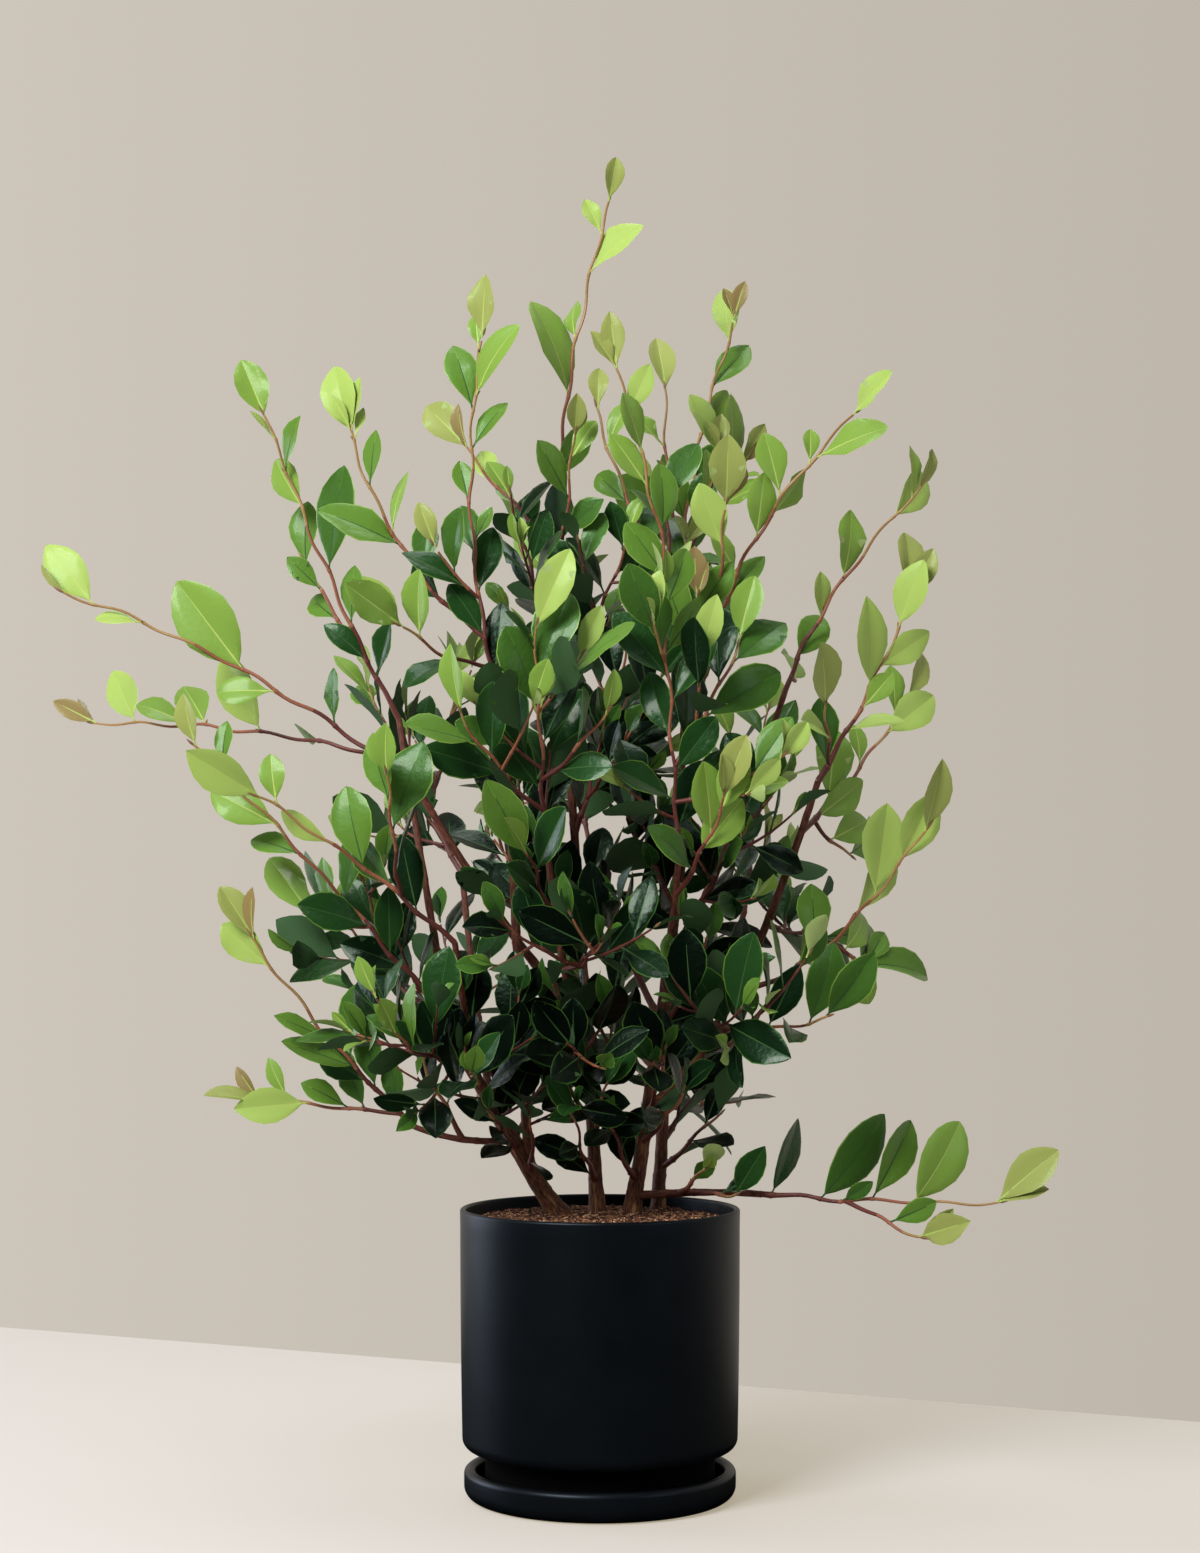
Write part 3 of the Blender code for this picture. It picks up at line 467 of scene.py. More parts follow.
def makeSoil():
    rings = np.linspace(0.0015, soil["wall"], 60)
    profile = [(r, soil["level"]) for r in rings]
    profile += [(soil["wall"], 0.18), (0.0997, 0.0568), (0.0797, 0.0385), (0.0797, 0.0223), (0.001, 0.0223)]
    corners, patches = turned(profile, soil["steps"])
    top = len(rings) * soil["steps"]
    corners[:top, 2] = soilHeight(corners[:top, 0], corners[:top, 1])
    settle(makePiece("soilMound", [(corners, patches)], [dampCoir()], 60), "potting_soil", "soil")

    # Each crumb is a seven-cornered lump and each strand a bent hair, in one of four browns of dry coir
    browns = []
    for number, brown in enumerate(soil["browns"]):
        browns.append(newMaterial(f"coirCrumb{number}", {"Base Color": linear(brown), "Roughness": 0.95})[0])
    draw = np.random.default_rng(11)
    surfaces = []
    ball = np.array([[0, 0, 1], [0.9, 0, 0.3], [0.2, 0.85, 0.3], [-0.8, 0.4, 0.25], [-0.6, -0.7, 0.3],
                     [0.4, -0.8, 0.25], [0, 0, -0.6]])
    sides = [[0, a, a % 5 + 1] for a in range(1, 6)] + [[6, a % 5 + 1, a] for a in range(1, 6)]
    for _ in range(soil["crumbs"]):
        x, y = anywhere(draw, soil["wall"] - soil["crumbsOff"])
        size = draw.uniform(*soil["crumb"]) * np.array([1.0, draw.uniform(0.5, 1), draw.uniform(0.35, 0.7)])
        turn, _ = np.linalg.qr(draw.normal(size=(3, 3)) * 0.35 + np.eye(3))
        turn *= np.sign(np.linalg.det(turn))
        spin = draw.uniform(0, math.tau)
        cosine, sine = math.cos(spin), math.sin(spin)
        about = np.array([[cosine, -sine, 0], [sine, cosine, 0], [0, 0, 1]])
        shape = (ball * draw.uniform(0.75, 1.15, (7, 1)) * size) @ (turn @ about).T
        middle = float(soilHeight(x, y)) + size[2] * 0.3
        surfaces.append((shape + [x, y, middle], [(sides, draw.integers(4))]))
    for _ in range(soil["strands"]):
        x, y = anywhere(draw, soil["strandsTo"])
        heading, length = draw.uniform(0, math.tau), draw.uniform(*soil["strand"])
        along = np.linspace(-0.5, 0.5, 5)
        bend = draw.uniform(-0.5, 0.5)
        x = x + length * (along * math.cos(heading) - bend * along ** 2 * math.sin(heading))
        y = y + length * (along * math.sin(heading) + bend * along ** 2 * math.cos(heading))
        path = np.stack([x, y, soilHeight(x, y) + 0.0004 + 0.0012 * (0.25 - along ** 2)], axis=-1)
        surfaces.append(tube(path, np.full(5, draw.uniform(*soil["strandThick"])), 4, draw.integers(1, 4)))
    settle(makePiece("coirCrumbs", surfaces, browns, 30), "potting_soil")


makeSoil()
print("soil")

# Stems and boughs: woody limbs that taper from the soil to where the sprays begin

stems = {
    # foot on the soil, tip, sag of the middle as a share of the length, radius at the foot and at the tip
    "left_stem": ((-0.034, 0.028), (-0.125, 0.000, 0.375), 0.02, 0.0082, 0.0040),
    "mid_stem": ((-0.002, 0.040), (-0.030, 0.030, 0.660), -0.02, 0.0060, 0.0026),
    "right_stem": ((0.025, 0.036), (0.076, -0.015, 0.600), 0.04, 0.0068, 0.0028),
    "back_stem": ((0.046, 0.066), (0.070, 0.120, 0.640), 0.03, 0.0056, 0.0026),
}
boughs = {
    # parent, how far along it, tip, sag, radius at the fork and at the tip
    "low_left_bough": ("left_stem", 0.36, (-0.142, 0.002, 0.283), 0.06, 0.0030, 0.0023),
    "low_right_bough": ("right_stem", 0.030, (0.124, -0.002, 0.232), -0.02, 0.0034, 0.0025),
    "upright_bough": ("left_stem", 0.22, (-0.072, -0.028, 0.600), 0.02, 0.0044, 0.0026),
    "far_left_bough": ("mid_stem", 0.33, (-0.140, -0.022, 0.545), 0.05, 0.0042, 0.0026),
    "upper_left_bough": ("left_stem", 0.86, (-0.158, 0.050, 0.600), 0.03, 0.0034, 0.0024),
    "front_left_bough": ("left_stem", 0.62, (-0.108, -0.062, 0.425), 0.08, 0.0032, 0.0022),
    "side_bough": ("right_stem", 0.21, (0.166, -0.018, 0.548), 0.14, 0.0044, 0.0026),
    "front_bough": ("mid_stem", 0.24, (-0.040, -0.074, 0.500), 0.10, 0.0036, 0.0024),
    "front_right_bough": ("right_stem", 0.36, (0.058, -0.086, 0.490), 0.08, 0.0032, 0.0022),
    "right_back_bough": ("back_stem", 0.46, (0.146, 0.078, 0.620), 0.06, 0.0034, 0.0024),
    "back_left_bough": ("left_stem", 0.52, (-0.112, 0.122, 0.480), 0.08, 0.0034, 0.0024),
    "back_bough": ("back_stem", 0.32, (-0.008, 0.158, 0.500), 0.06, 0.0034, 0.0024),
    "back_right_bough": ("back_stem", 0.24, (0.120, 0.166, 0.450), 0.08, 0.0034, 0.0024),
}
wood = {
    "taper": 0.65, "flare": 0.45, "flareReach": 0.012, "sunk": 0.008, "collar": 0.35, "collarReach": 0.005,
    "step": 0.0025, "sides": 16, "fibre": 0.0026, "fibreDepth": 0.07, "lump": 0.022, "lumpDepth": 0.07,
    "scarEvery": (0.024, 0.036), "scarDepth": 0.13, "scarWidth": 0.0014,
    "scarred": 0.0026,  # the radius at which scars have that depth: less on thicker wood
    "youngTo": 0.0024, "ageing": 0.0045,  # the radius where bark starts to age, and how much more is old
}


def limbRadius(far, total, foot, tip, flared):
    # From foot to tip as the share of the way to the power taper, flared where it meets the soil
    radius = foot + (tip - foot) * (far / total) ** wood["taper"]
    return radius + flared * wood["flare"] * foot * np.exp(-far / wood["flareReach"])


def planLimbs():
    limbs = {}
    for name, (foot, tip, sag, *ends) in stems.items():
        path = saggingPath((*foot, soil["level"]), tip, sag, wood["step"])
        limbs[name] = {"path": path, "ends": ends}
    for name, (parent, share, tip, sag, *ends) in boughs.items():
        start, _ = spotAlong(limbs[parent]["path"], share)
        limbs[name] = {"path": saggingPath(start, tip, sag, wood["step"]), "ends": ends}
    for name, limb in limbs.items():
        limb["flared"] = name in stems
        limb["total"] = reachOf(limb["path"])[-1]
    return limbs


def limbSurface(limb, seed):
    # A tube whose radius also swells over lumps 22 mm long, fibres 3 mm wide that run five times
    # as long, and the ring scars of old leaves
    path = limb["path"]
    if limb["flared"]:
        path = np.concatenate([[path[0] - unit(path[1] - path[0]) * wood["sunk"]], path])
    far = reachOf(path)
    thick, thin = limb["ends"]
    radius = limbRadius(far, far[-1], thick, thin, limb["flared"])
    if not limb["flared"]:
        radius = radius * (1 + wood["collar"] * np.exp(-far / wood["collarReach"]))
    draw = np.random.default_rng(seed)
    spots = np.cumsum(draw.uniform(*wood["scarEvery"], 60))
    scars = np.exp(-((far[:, None] - spots) / wood["scarWidth"]) ** 2).sum(axis=1)
    angles = np.arange(wood["sides"]) * math.tau / wood["sides"]
    around = [radius[:, None] * np.cos(angles), radius[:, None] * np.sin(angles), far[:, None] / 5]
    grain = np.stack(np.broadcast_arrays(*around), axis=-1) + seed * 0.1
    relief = wood["fibreDepth"] * ripple(grain, wood["fibre"], seed, 16)
    relief = relief + wood["lumpDepth"] * ripple(grain * [1, 1, 5], wood["lump"], seed + 1)
    relief = relief + wood["scarDepth"] * (scars * np.sqrt(wood["scarred"] / radius))[:, None]
    surface = tube(path, radius[:, None] * (1 + relief), wood["sides"])
    age = np.clip((radius - wood["youngTo"]) / wood["ageing"], 0, 1)[:, None] + 0 * angles
    return surface, {"grain": grain.reshape(-1, 3), "age": age.ravel()}


def camelliaBark():
    # Smooth thin bark: red-brown and satin on young wood, dull grey-brown and fibrous on old,
    # with fibres 1 mm wide along the limb and pale flecks of 4 mm where the skin has flaked. The young
    # wood is also drawn darker as painted shade, for the thin upper limbs inside the crown
    material, tree, shader = newMaterial("camelliaBark", {"Roughness": 0.72, "Specular IOR Level": 0.35})
    grain = addNode(tree, "ShaderNodeAttribute", attribute_name="grain")
    age = addNode(tree, "ShaderNodeAttribute", attribute_name="age")
    spot = {"Vector": grain.outputs["Vector"]}
    fibres = addNode(tree, "ShaderNodeTexNoise", {"Scale": 900.0, "Detail": 3.0}, spot)
    flakes = addNode(tree, "ShaderNodeTexNoise", {"Scale": 260.0, "Detail": 4.0}, spot)
    crisp = {"From Min": 0.38, "From Max": 0.62}
    spread = addNode(tree, "ShaderNodeMapRange", crisp, {"Value": fibres.outputs["Fac"]})
    seldom = {"From Min": 0.56, "From Max": 0.66}
    fleck = addNode(tree, "ShaderNodeMapRange", seldom, {"Value": flakes.outputs["Fac"]})
    # Young skins darkened partly as painted shade of the crown over the thin limbs
    skins = {6: linear("#43201A"), 7: linear("#6C3A2A")}
    young = addNode(tree, "ShaderNodeMix", skins, {0: spread.outputs["Result"]}, data_type="RGBA")
    rinds = {6: linear("#3A1F13"), 7: linear("#74482E")}
    old = addNode(tree, "ShaderNodeMix", rinds, {0: spread.outputs["Result"]}, data_type="RGBA")
    flaked = {0: fleck.outputs["Result"], 6: old.outputs[2]}
    flecked = addNode(tree, "ShaderNodeMix", {7: linear("#9C7148")}, flaked, data_type="RGBA")
    aged = {0: age.outputs["Fac"], 6: young.outputs[2], 7: flecked.outputs[2]}
    both = addNode(tree, "ShaderNodeMix", links=aged, data_type="RGBA")
    relief = {"Strength": 0.6, "Distance": 0.0006}
    bump = addNode(tree, "ShaderNodeBump", relief, {"Height": fibres.outputs["Fac"]})
    joinUp(tree, shader, {"Base Color": both.outputs[2], "Normal": bump.outputs["Normal"]})
    return material


bark = camelliaBark()
limbs = planLimbs()
woodTrees = []
for number, (name, limb) in enumerate(limbs.items()):
    surface, marks = limbSurface(limb, 20 + number)
    settle(makePiece(name + "Bark", [surface], [bark], 60, marks), "bark", name)
    # A coarse and slightly thicker limb, for leaves and twigs to keep off
    far = reachOf(limb["path"])[::8]
    thick = limbRadius(far, limb["total"], *limb["ends"], limb["flared"]) + 0.0008
    shell, patches = tube(limb["path"][::8], thick, 6)
    woodTrees.append(BVHTree.FromPolygons(shell.tolist(), patches[0][0].tolist()))
print("limbs:", len(limbs))

# Sprays: the shoots, twigs and leaves that grow on from the limbs, one spray for each mass of foliage

# Leaf tones from the oldest to the youngest, the darkest steps standing partly for painted shade inside the
# crown
ladder = ("shade", "dark", "deep", "green", "fresh", "spring", "lime", "olive", "bronze")
manners = {
    # bare: share of the foot without leaves. spacing, twigSpacing: from one to the next. tones, tips: steps
    # of the ladder from foot to top and at the very end. facing, front, lift, hang, slant: how leaves turn
    # their faces out and to the front, rise, droop low down and lean off their stem. green: of the wood.
    # usual: what the rest share. open: long bare-footed shoots. sparse: longer and barer. full: many
    # twigs. inner: old leaves, dark partly as painted shade deep in the crown. placed: shoots whose leaves
    # are set one by one
    "usual": {"front": 0.45, "hang": 0.0, "slant": (24.0, 50.0), "green": 1.0},
    "open": {
        "bare": 0.20, "spacing": 0.032, "twigSpacing": 0.095, "twigsTo": 0.80, "twig": (0.034, 0.062),
        "leaf": (0.044, 0.064), "tones": (3.8, 6.0), "tips": (5.8, 7.8), "facing": 0.9, "lift": (0.35, 0.75),
    },
    "sparse": {
        "bare": 0.30, "spacing": 0.044, "twigSpacing": 0.260, "twigsTo": 0.70, "twig": (0.030, 0.045),
        "leaf": (0.048, 0.068), "tones": (4.4, 6.0), "tips": (6.0, 7.8), "facing": 1.0, "lift": (0.40, 0.85),
    },
    "full": {
        "bare": 0.08, "spacing": 0.028, "twigSpacing": 0.040, "twigsTo": 0.90, "twig": (0.040, 0.072),
        "leaf": (0.042, 0.060), "tones": (1.8, 4.6), "tips": (4.2, 6.6), "facing": 0.7, "lift": (0.20, 0.60),
        "green": 0.8,
    },
    "inner": {
        "bare": 0.04, "spacing": 0.027, "twigSpacing": 0.030, "twigsTo": 0.95, "twig": (0.045, 0.085),
        "leaf": (0.037, 0.056), "tones": (0.2, 1.8), "tips": (1.2, 3.2), "facing": 0.5, "lift": (0.10, 0.55),
        "hang": 0.6, "green": 0.4,
    },
    "placed": {"twigsTo": 0.0, "front": 0.9, "facing": 1.6},
}
# The lowest leaves keep to the darkest steps, partly as painted shade under the crown
lowest = {"leaf": (0.032, 0.044), "twigsTo": 0.0, "tips": (0.8, 1.8)}  # small old leaves close over the soil


def shoot(parent, share, tip, sag, seed, bow=(0, 0), leaves=None, tipLeaf=None, **own):
    # A shoot's plan. The table gives its tip, its bow and its leaves' lengths in millimetres, and each
    # leaf's place in hundredths of its length: all become metres and shares here
    if leaves:
        own["leaves"] = [(far / 100, 1 if size > 0 else -1, abs(size) / 1000) for far, size in leaves.items()]
    if tipLeaf:
        own["tipLeaf"] = tipLeaf / 1000
    return parent, share, np.array(tip) / 1000, sag, np.array([*bow, 0]) / 1000, seed, own


sprays = {
    # Manner, then shoots as parent, how far along it, tip, sag and seed: the first grows on a limb, and a
    # parent called stem is that first shoot. Bow bends a shoot's middle by so much along X and Y. Leaves
    # set one by one are place: length, less than nought on the left of an upright shoot seen from in
    # front. TipLeaf is the longest leaf of its tip. The rest are settings of the manner that it changes
    "far_left_foliage": ("sparse", [
        shoot("far_left_bough", 1.0, (-400, -60, 686), -0.05, 1,
              leaves={25: 43, 42: -40, 52: 72, 79: -32, 92: 52}, tipLeaf=26, tones=(4.0, 6.0),
              lift=(0.0, 0.2), slant=(14.0, 28.0)),
        shoot("stem", 0.12, (-402, 70, 598), -0.03, 2, leaves={20: -36, 40: 60, 60: 51, 66: -38, 85: 56},
              tipLeaf=40, tones=(4.0, 5.6)),
    ]),
    "left_foliage": ("sparse", [
        shoot("left_stem", 1.0, (-300, -75, 572), -0.02, 3,
              leaves={20: 50, 30: -52, 40: 44, 58: -40, 68: -52, 90: 30}, tipLeaf=34, tones=(3.4, 5.4)),
        shoot("stem", 0.3, (-222, -10, 446), 0.06, 4, leaves={55: 50}, tipLeaf=52, tones=(3.0, 4.6),
              tips=(4.6, 5.6)),
    ]),
    "front_left_foliage": ("open", [
        shoot("front_left_bough", 1.0, (-245, -135, 530), -0.03, 5,
              leaves={20: 50, 34: -46, 48: 62, 64: -42, 92: 34}, tipLeaf=56, tones=(2.8, 5.0),
              tips=(4.6, 5.6)),
        shoot("stem", 0.3, (-150, -170, 545), 0.08, 6, tones=(1.6, 3.8), tips=(3.8, 5.0), spacing=0.04,
              twigsTo=0.0),
    ]),
    "low_left_foliage": ("open", [
        shoot("low_left_bough", 1.0, (-262, -40, 428), 0.04, 7,
              leaves={10: 34, 22: 46, 26: -52, 34: -60, 38: 56, 50: -44, 86: -46}, tipLeaf=48,
              tones=(3.0, 5.6)),
        shoot("stem", 0.08, (-262, 10, 304), 0.0, 8, leaves={25: 46, 36: -34, 66: -48, 80: 36}, tipLeaf=42),
        shoot("low_left_bough", 0.5, (-136, -30, 340), 0.02, 102, leaves={40: 36}, tipLeaf=42,
              tones=(3.4, 4.4), tips=(3.6, 4.6)),
    ]),
    "upper_left_foliage": ("open", [
        shoot("upper_left_bough", 1.0, (-258, 10, 832), 0.05, 9,
              leaves={14: 46, 20: -44, 32: 38, 50: 70, 70: -46, 82: 44, 92: -24}, tipLeaf=41,
              tones=(3.2, 6.0), tips=(5.0, 6.4)),
        shoot("stem", 0.2, (-243, 60, 742), 0.03, 10, leaves={36: -36, 58: -38, 78: 48}, tipLeaf=46),
    ]),
    "high_left_foliage": ("open", [
        shoot("upright_bough", 1.0, (-88, -55, 879), 0.02, 11, bow=(-16, 0),
              leaves={10: 50, 20: -48, 32: 44, 42: -40, 46: 24, 56: -28, 70: 36, 80: -48, 84: 57, 96: -24},
              tipLeaf=47, twigsTo=0.55, twigSpacing=0.055),
        shoot("stem", 0.2, (-188, -50, 808), 0.06, 12, bow=(-10, 0),
              leaves={22: -40, 36: 44, 50: -58, 56: 42, 76: 43, 96: 22}, tipLeaf=50, tips=(5.0, 6.4)),
        shoot("stem", 0.12, (-145, -100, 656), 0.06, 13, leaves={40: -44, 80: 48}, tipLeaf=54,
              tips=(4.8, 6.0)),
    ]),
    "leader_foliage": ("sparse", [
        shoot("mid_stem", 1.0, (8, 20, 1000), 0.03, 14, bow=(-18, 0),
              leaves={20: -54, 36: 42, 55: -70, 68: -42, 83: 48, 92: -24}, tipLeaf=50, twigsTo=0.0),
        shoot("stem", 0.22, (-105, 40, 812), 0.05, 15, leaves={40: -34, 62: 38}, tipLeaf=46, twigsTo=0.8,
              twigSpacing=0.045),
        shoot("stem", 0.12, (-20, -50, 806), 0.06, 16, leaves={36: 44, 60: -50, 82: 32}, tipLeaf=34),
    ]),
    "top_foliage": ("open", [
        shoot("right_stem", 0.9, (12, -52, 856), 0.02, 17, bow=(10, 0),
              leaves={14: 50, 24: -52, 36: 48, 46: -50, 58: 46, 70: -40, 78: -43, 88: 40}, tipLeaf=40,
              twigsTo=0.55, twigSpacing=0.055),
        shoot("stem", 0.46, (50, 0, 850), 0.06, 18, leaves={24: -44, 42: 46, 70: -34}, tipLeaf=50,
              twigsTo=0.6, twigSpacing=0.05),
        shoot("stem", 0.4, (-4, 14, 838), 0.05, 19, leaves={30: 48, 52: -40, 80: 34}, tipLeaf=34),
    ]),
    "back_top_foliage": ("open", [
        shoot("back_stem", 1.0, (110, 112, 930), 0.02, 20, bow=(-18, 0),
              leaves={12: 48, 22: -50, 32: 46, 42: -46, 52: 52, 66: 46, 80: 44, 93: -47}, tipLeaf=30,
              twigsTo=0.55, twigSpacing=0.055),
        shoot("stem", 0.3, (94, 70, 812), 0.06, 21, leaves={36: -46, 60: 42}, tipLeaf=46, twigsTo=0.5,
              twigSpacing=0.05),
        shoot("stem", 0.18, (40, 150, 790), 0.06, 22, leaves={30: 44, 55: -44, 80: 34}, tipLeaf=36),
    ]),
    "high_right_foliage": ("open", [
        shoot("right_stem", 1.0, (190, -70, 818), -0.02, 23, bow=(-24, 0),
              leaves={12: -52, 22: 48, 34: 44, 42: -40, 54: -44, 62: 43, 68: -40, 80: -24, 83: 54},
              tipLeaf=40, tones=(3.6, 5.4), tips=(4.4, 5.6)),
        shoot("stem", 0.25, (92, -90, 748), 0.05, 24, leaves={40: 44, 66: -42}, tipLeaf=46),
    ]),
    # The sprays on the right take lighter tones, partly as painted light: they stand for leaves lit through
    # from behind
    "right_back_foliage": ("sparse", [
        shoot("right_back_bough", 1.0, (256, 82, 788), 0.02, 25, bow=(-16, 0),
              leaves={16: 52, 34: -34, 52: -56, 84: 52, 94: -40}, tipLeaf=36, tones=(4.8, 6.8)),
        shoot("stem", 0.1, (160, 150, 640), 0.05, 26, leaves={50: 40}, tipLeaf=42),
    ]),
    "right_side_foliage": ("open", [
        shoot("side_bough", 1.0, (236, -30, 686), 0.04, 27,
              leaves={8: -50, 28: 40, 40: 34, 52: -60, 62: 42, 84: 48}, tipLeaf=52, tones=(4.8, 6.8),
              tips=(6.4, 7.6)),
        shoot("stem", 0.1, (166, -85, 600), 0.06, 28, leaves={50: -44}, tipLeaf=50, tones=(4.8, 6.0)),
    ]),
    "right_mid_foliage": ("sparse", [
        shoot("side_bough", 0.86, (244, 62, 618), 0.04, 29,
              leaves={12: 46, 24: -56, 50: -34, 76: 46, 86: -41}, tipLeaf=46, tones=(5.0, 6.8),
              tips=(6.4, 7.6)),
        shoot("stem", 0.1, (196, 30, 492), 0.08, 30, leaves={45: -48}, tipLeaf=64, tips=(3.0, 4.0)),
    ]),
    "right_front_foliage": ("open", [
        shoot("side_bough", 0.4, (240, -80, 510), 0.12, 31,
              leaves={28: 46, 36: -54, 58: 56, 68: -62, 84: 50}, tipLeaf=55, tones=(4.2, 6.6),
              tips=(6.0, 7.4)),
        shoot("stem", 0.45, (204, -20, 408), 0.05, 32, leaves={30: -46, 50: 50, 78: -48}, tipLeaf=56,
              tips=(3.0, 4.0)),
        shoot("side_bough", 0.3, (170, -75, 370), 0.05, 97, leaves={46: -50, 62: 52, 80: -56}, tipLeaf=58,
              tones=(2.4, 3.6), tips=(2.4, 3.4)),
    ]),
    "low_right_foliage": ("open", [
        shoot("low_right_bough", 1.0, (299, -50, 230), 0.01, 95,
              leaves={4: -60, 25: -74, 34: 28, 47: -68, 64: -70}, tipLeaf=56, tones=(4.6, 6.6)),
        shoot("stem", 0.36, (236, -85, 208), 0.0, 34, leaves={60: -36}, tipLeaf=44),
        shoot("low_right_bough", 0.48, (104, -40, 236), 0.02, 93, leaves={55: -30}, tipLeaf=46,
              tones=(3.0, 4.0), tips=(2.0, 3.0)),
        shoot("low_right_bough", 0.36, (78, -28, 252), 0.02, 94, leaves={50: 26}, tipLeaf=30,
              tips=(4.0, 5.0)),
    ]),
    "front_foliage": ("full", [
        shoot("front_bough", 1.0, (-46, -140, 652), 0.04, 35, tipLeaf=60, tips=(5.8, 6.2)),
        shoot("stem", 0.3, (4, -150, 590), 0.06, 36, tones=(2.0, 4.2), tips=(3.6, 4.6), twigsTo=0.6),
        shoot("stem", 0.15, (-100, -140, 590), 0.08, 37, leaves={28: 48, 44: -52, 60: 50, 76: -50},
              tipLeaf=46, tips=(4.0, 5.2), twigsTo=0.5, twigSpacing=0.045),
    ]),
    "front_right_foliage": ("full", [
        shoot("front_right_bough", 1.0, (46, -125, 680), 0.03, 38, tones=(2.6, 5.2)),
        shoot("stem", 0.2, (130, -130, 560), 0.08, 39, tones=(3.2, 5.4), tips=(5.4, 6.6),
              twigSpacing=0.055),
        shoot("stem", 0.34, (104, -85, 650), 0.05, 82, leaf=(0.052, 0.068), tones=(2.2, 4.0)),
        shoot("front_right_bough", 0.8, (90, -135, 530), 0.06, 98,
              leaves={30: -46, 48: 48, 66: -50, 84: 44}, tipLeaf=44, tones=(4.6, 6.0), tips=(5.6, 6.4)),
    ]),
    "inner_left_foliage": ("inner", [
        shoot("left_stem", 0.93, (-205, 50, 450), 0.05, 40, tones=(2.4, 3.8), tips=(3.4, 4.6)),
        shoot("stem", 0.4, (-180, -10, 470), 0.05, 41, tones=(2.2, 4.0), tips=(3.4, 4.6), twigSpacing=0.05),
    ]),
    "inner_low_left_foliage": ("inner", [
        shoot("left_stem", 0.72, (-150, -110, 360), 0.05, 42, tones=(1.8, 3.8), tips=(3.2, 4.4),
              twigSpacing=0.044),
        shoot("stem", 0.5, (-185, -60, 360), 0.05, 43, tones=(2.0, 4.0), tips=(3.4, 4.6),
              twigSpacing=0.044),
        shoot("left_stem", 0.44, (-100, -85, 345), 0.05, 44),
        shoot("left_stem", 0.55, (-60, -45, 385), 0.05, 45),
        shoot("left_stem", 0.2, (-52, -30, 292), 0.03, 87, tipLeaf=40, **lowest),
        shoot("left_stem", 0.32, (-82, -62, 300), 0.03, 101, tipLeaf=40, **lowest),
    ]),
    "inner_mid_foliage": ("inner", [
        shoot("mid_stem", 0.42, (-85, 40, 510), 0.05, 46),
        shoot("stem", 0.3, (-50, -24, 500), 0.03, 47),
        shoot("stem", 0.2, (-4, -12, 450), 0.03, 48),
        shoot("mid_stem", 0.16, (-45, -20, 345), 0.05, 49),
        shoot("mid_stem", 0.2, (12, -30, 375), 0.05, 50),
        shoot("mid_stem", 0.05, (-20, -45, 292), 0.03, 85, tipLeaf=40, **lowest),
        shoot("mid_stem", 0.12, (4, -66, 318), 0.03, 99, tipLeaf=40, **lowest),
    ]),
    "inner_high_foliage": ("inner", [
        shoot("mid_stem", 0.66, (20, 10, 650), 0.03, 51),
        shoot("stem", 0.3, (15, 70, 600), 0.03, 52),
        shoot("stem", 0.2, (20, -35, 580), 0.03, 53),
        shoot("mid_stem", 0.55, (46, -10, 520), 0.02, 83),
        shoot("mid_stem", 0.9, (22, -10, 735), 0.02, 84, tones=(2.2, 4.2), tips=(3.6, 5.0)),
        shoot("mid_stem", 0.94, (-70, 10, 770), 0.03, 89, tones=(2.6, 4.6), tips=(4.4, 5.6)),
    ]),
    "inner_front_foliage": ("inner", [
        shoot("front_bough", 0.5, (0, -130, 425), 0.05, 54),
        shoot("stem", 0.4, (-70, -120, 440), 0.05, 55),
        shoot("stem", 0.2, (15, -60, 440), 0.05, 56),
        shoot("front_bough", 0.12, (-22, -95, 350), 0.05, 57),
        shoot("front_bough", 0.7, (-52, -130, 490), 0.04, 96, leaves={45: -50, 75: 54}, tipLeaf=64,
              tones=(3.2, 4.2), tips=(4.0, 4.4)),
    ]),
    "inner_right_foliage": ("inner", [
        shoot("right_stem", 0.52, (112, 20, 530), 0.05, 58, tones=(1.6, 3.6), tips=(3.4, 5.0)),
        shoot("stem", 0.3, (105, -45, 505), 0.03, 59, tones=(1.4, 3.2), tips=(3.4, 4.8)),
        shoot("stem", 0.15, (95, 45, 450), 0.03, 60),
        shoot("right_stem", 0.36, (80, -50, 425), 0.03, 90),
        shoot("right_stem", 0.62, (20, -50, 520), 0.03, 91),
    ]),
    "inner_low_right_foliage": ("inner", [
        shoot("side_bough", 0.28, (120, -85, 375), 0.05, 61, tones=(1.6, 3.6), tips=(3.4, 5.0)),
        shoot("stem", 0.5, (60, -100, 380), 0.05, 62, tones=(1.0, 2.8), tips=(2.6, 4.0)),
        shoot("right_stem", 0.2, (50, -60, 345), 0.05, 63),
        shoot("right_stem", 0.25, (100, 10, 350), 0.05, 64),
        shoot("right_stem", 0.06, (6, -20, 288), 0.03, 86, tipLeaf=40, **lowest),
        shoot("right_stem", 0.14, (62, -60, 314), 0.03, 100, tipLeaf=40, **lowest),
    ]),
    "inner_side_foliage": ("inner", [
        shoot("side_bough", 0.6, (176, 40, 430), 0.05, 65, tones=(1.6, 3.6), tips=(3.6, 5.0),
              twigSpacing=0.05),
        shoot("stem", 0.45, (150, 80, 440), 0.05, 66, twigSpacing=0.05),
    ]),
    "back_left_foliage": ("full", [
        shoot("back_left_bough", 1.0, (-195, 190, 640), 0.04, 67, twigSpacing=0.085),
        shoot("stem", 0.3, (-120, 200, 650), 0.06, 68, twigSpacing=0.06),
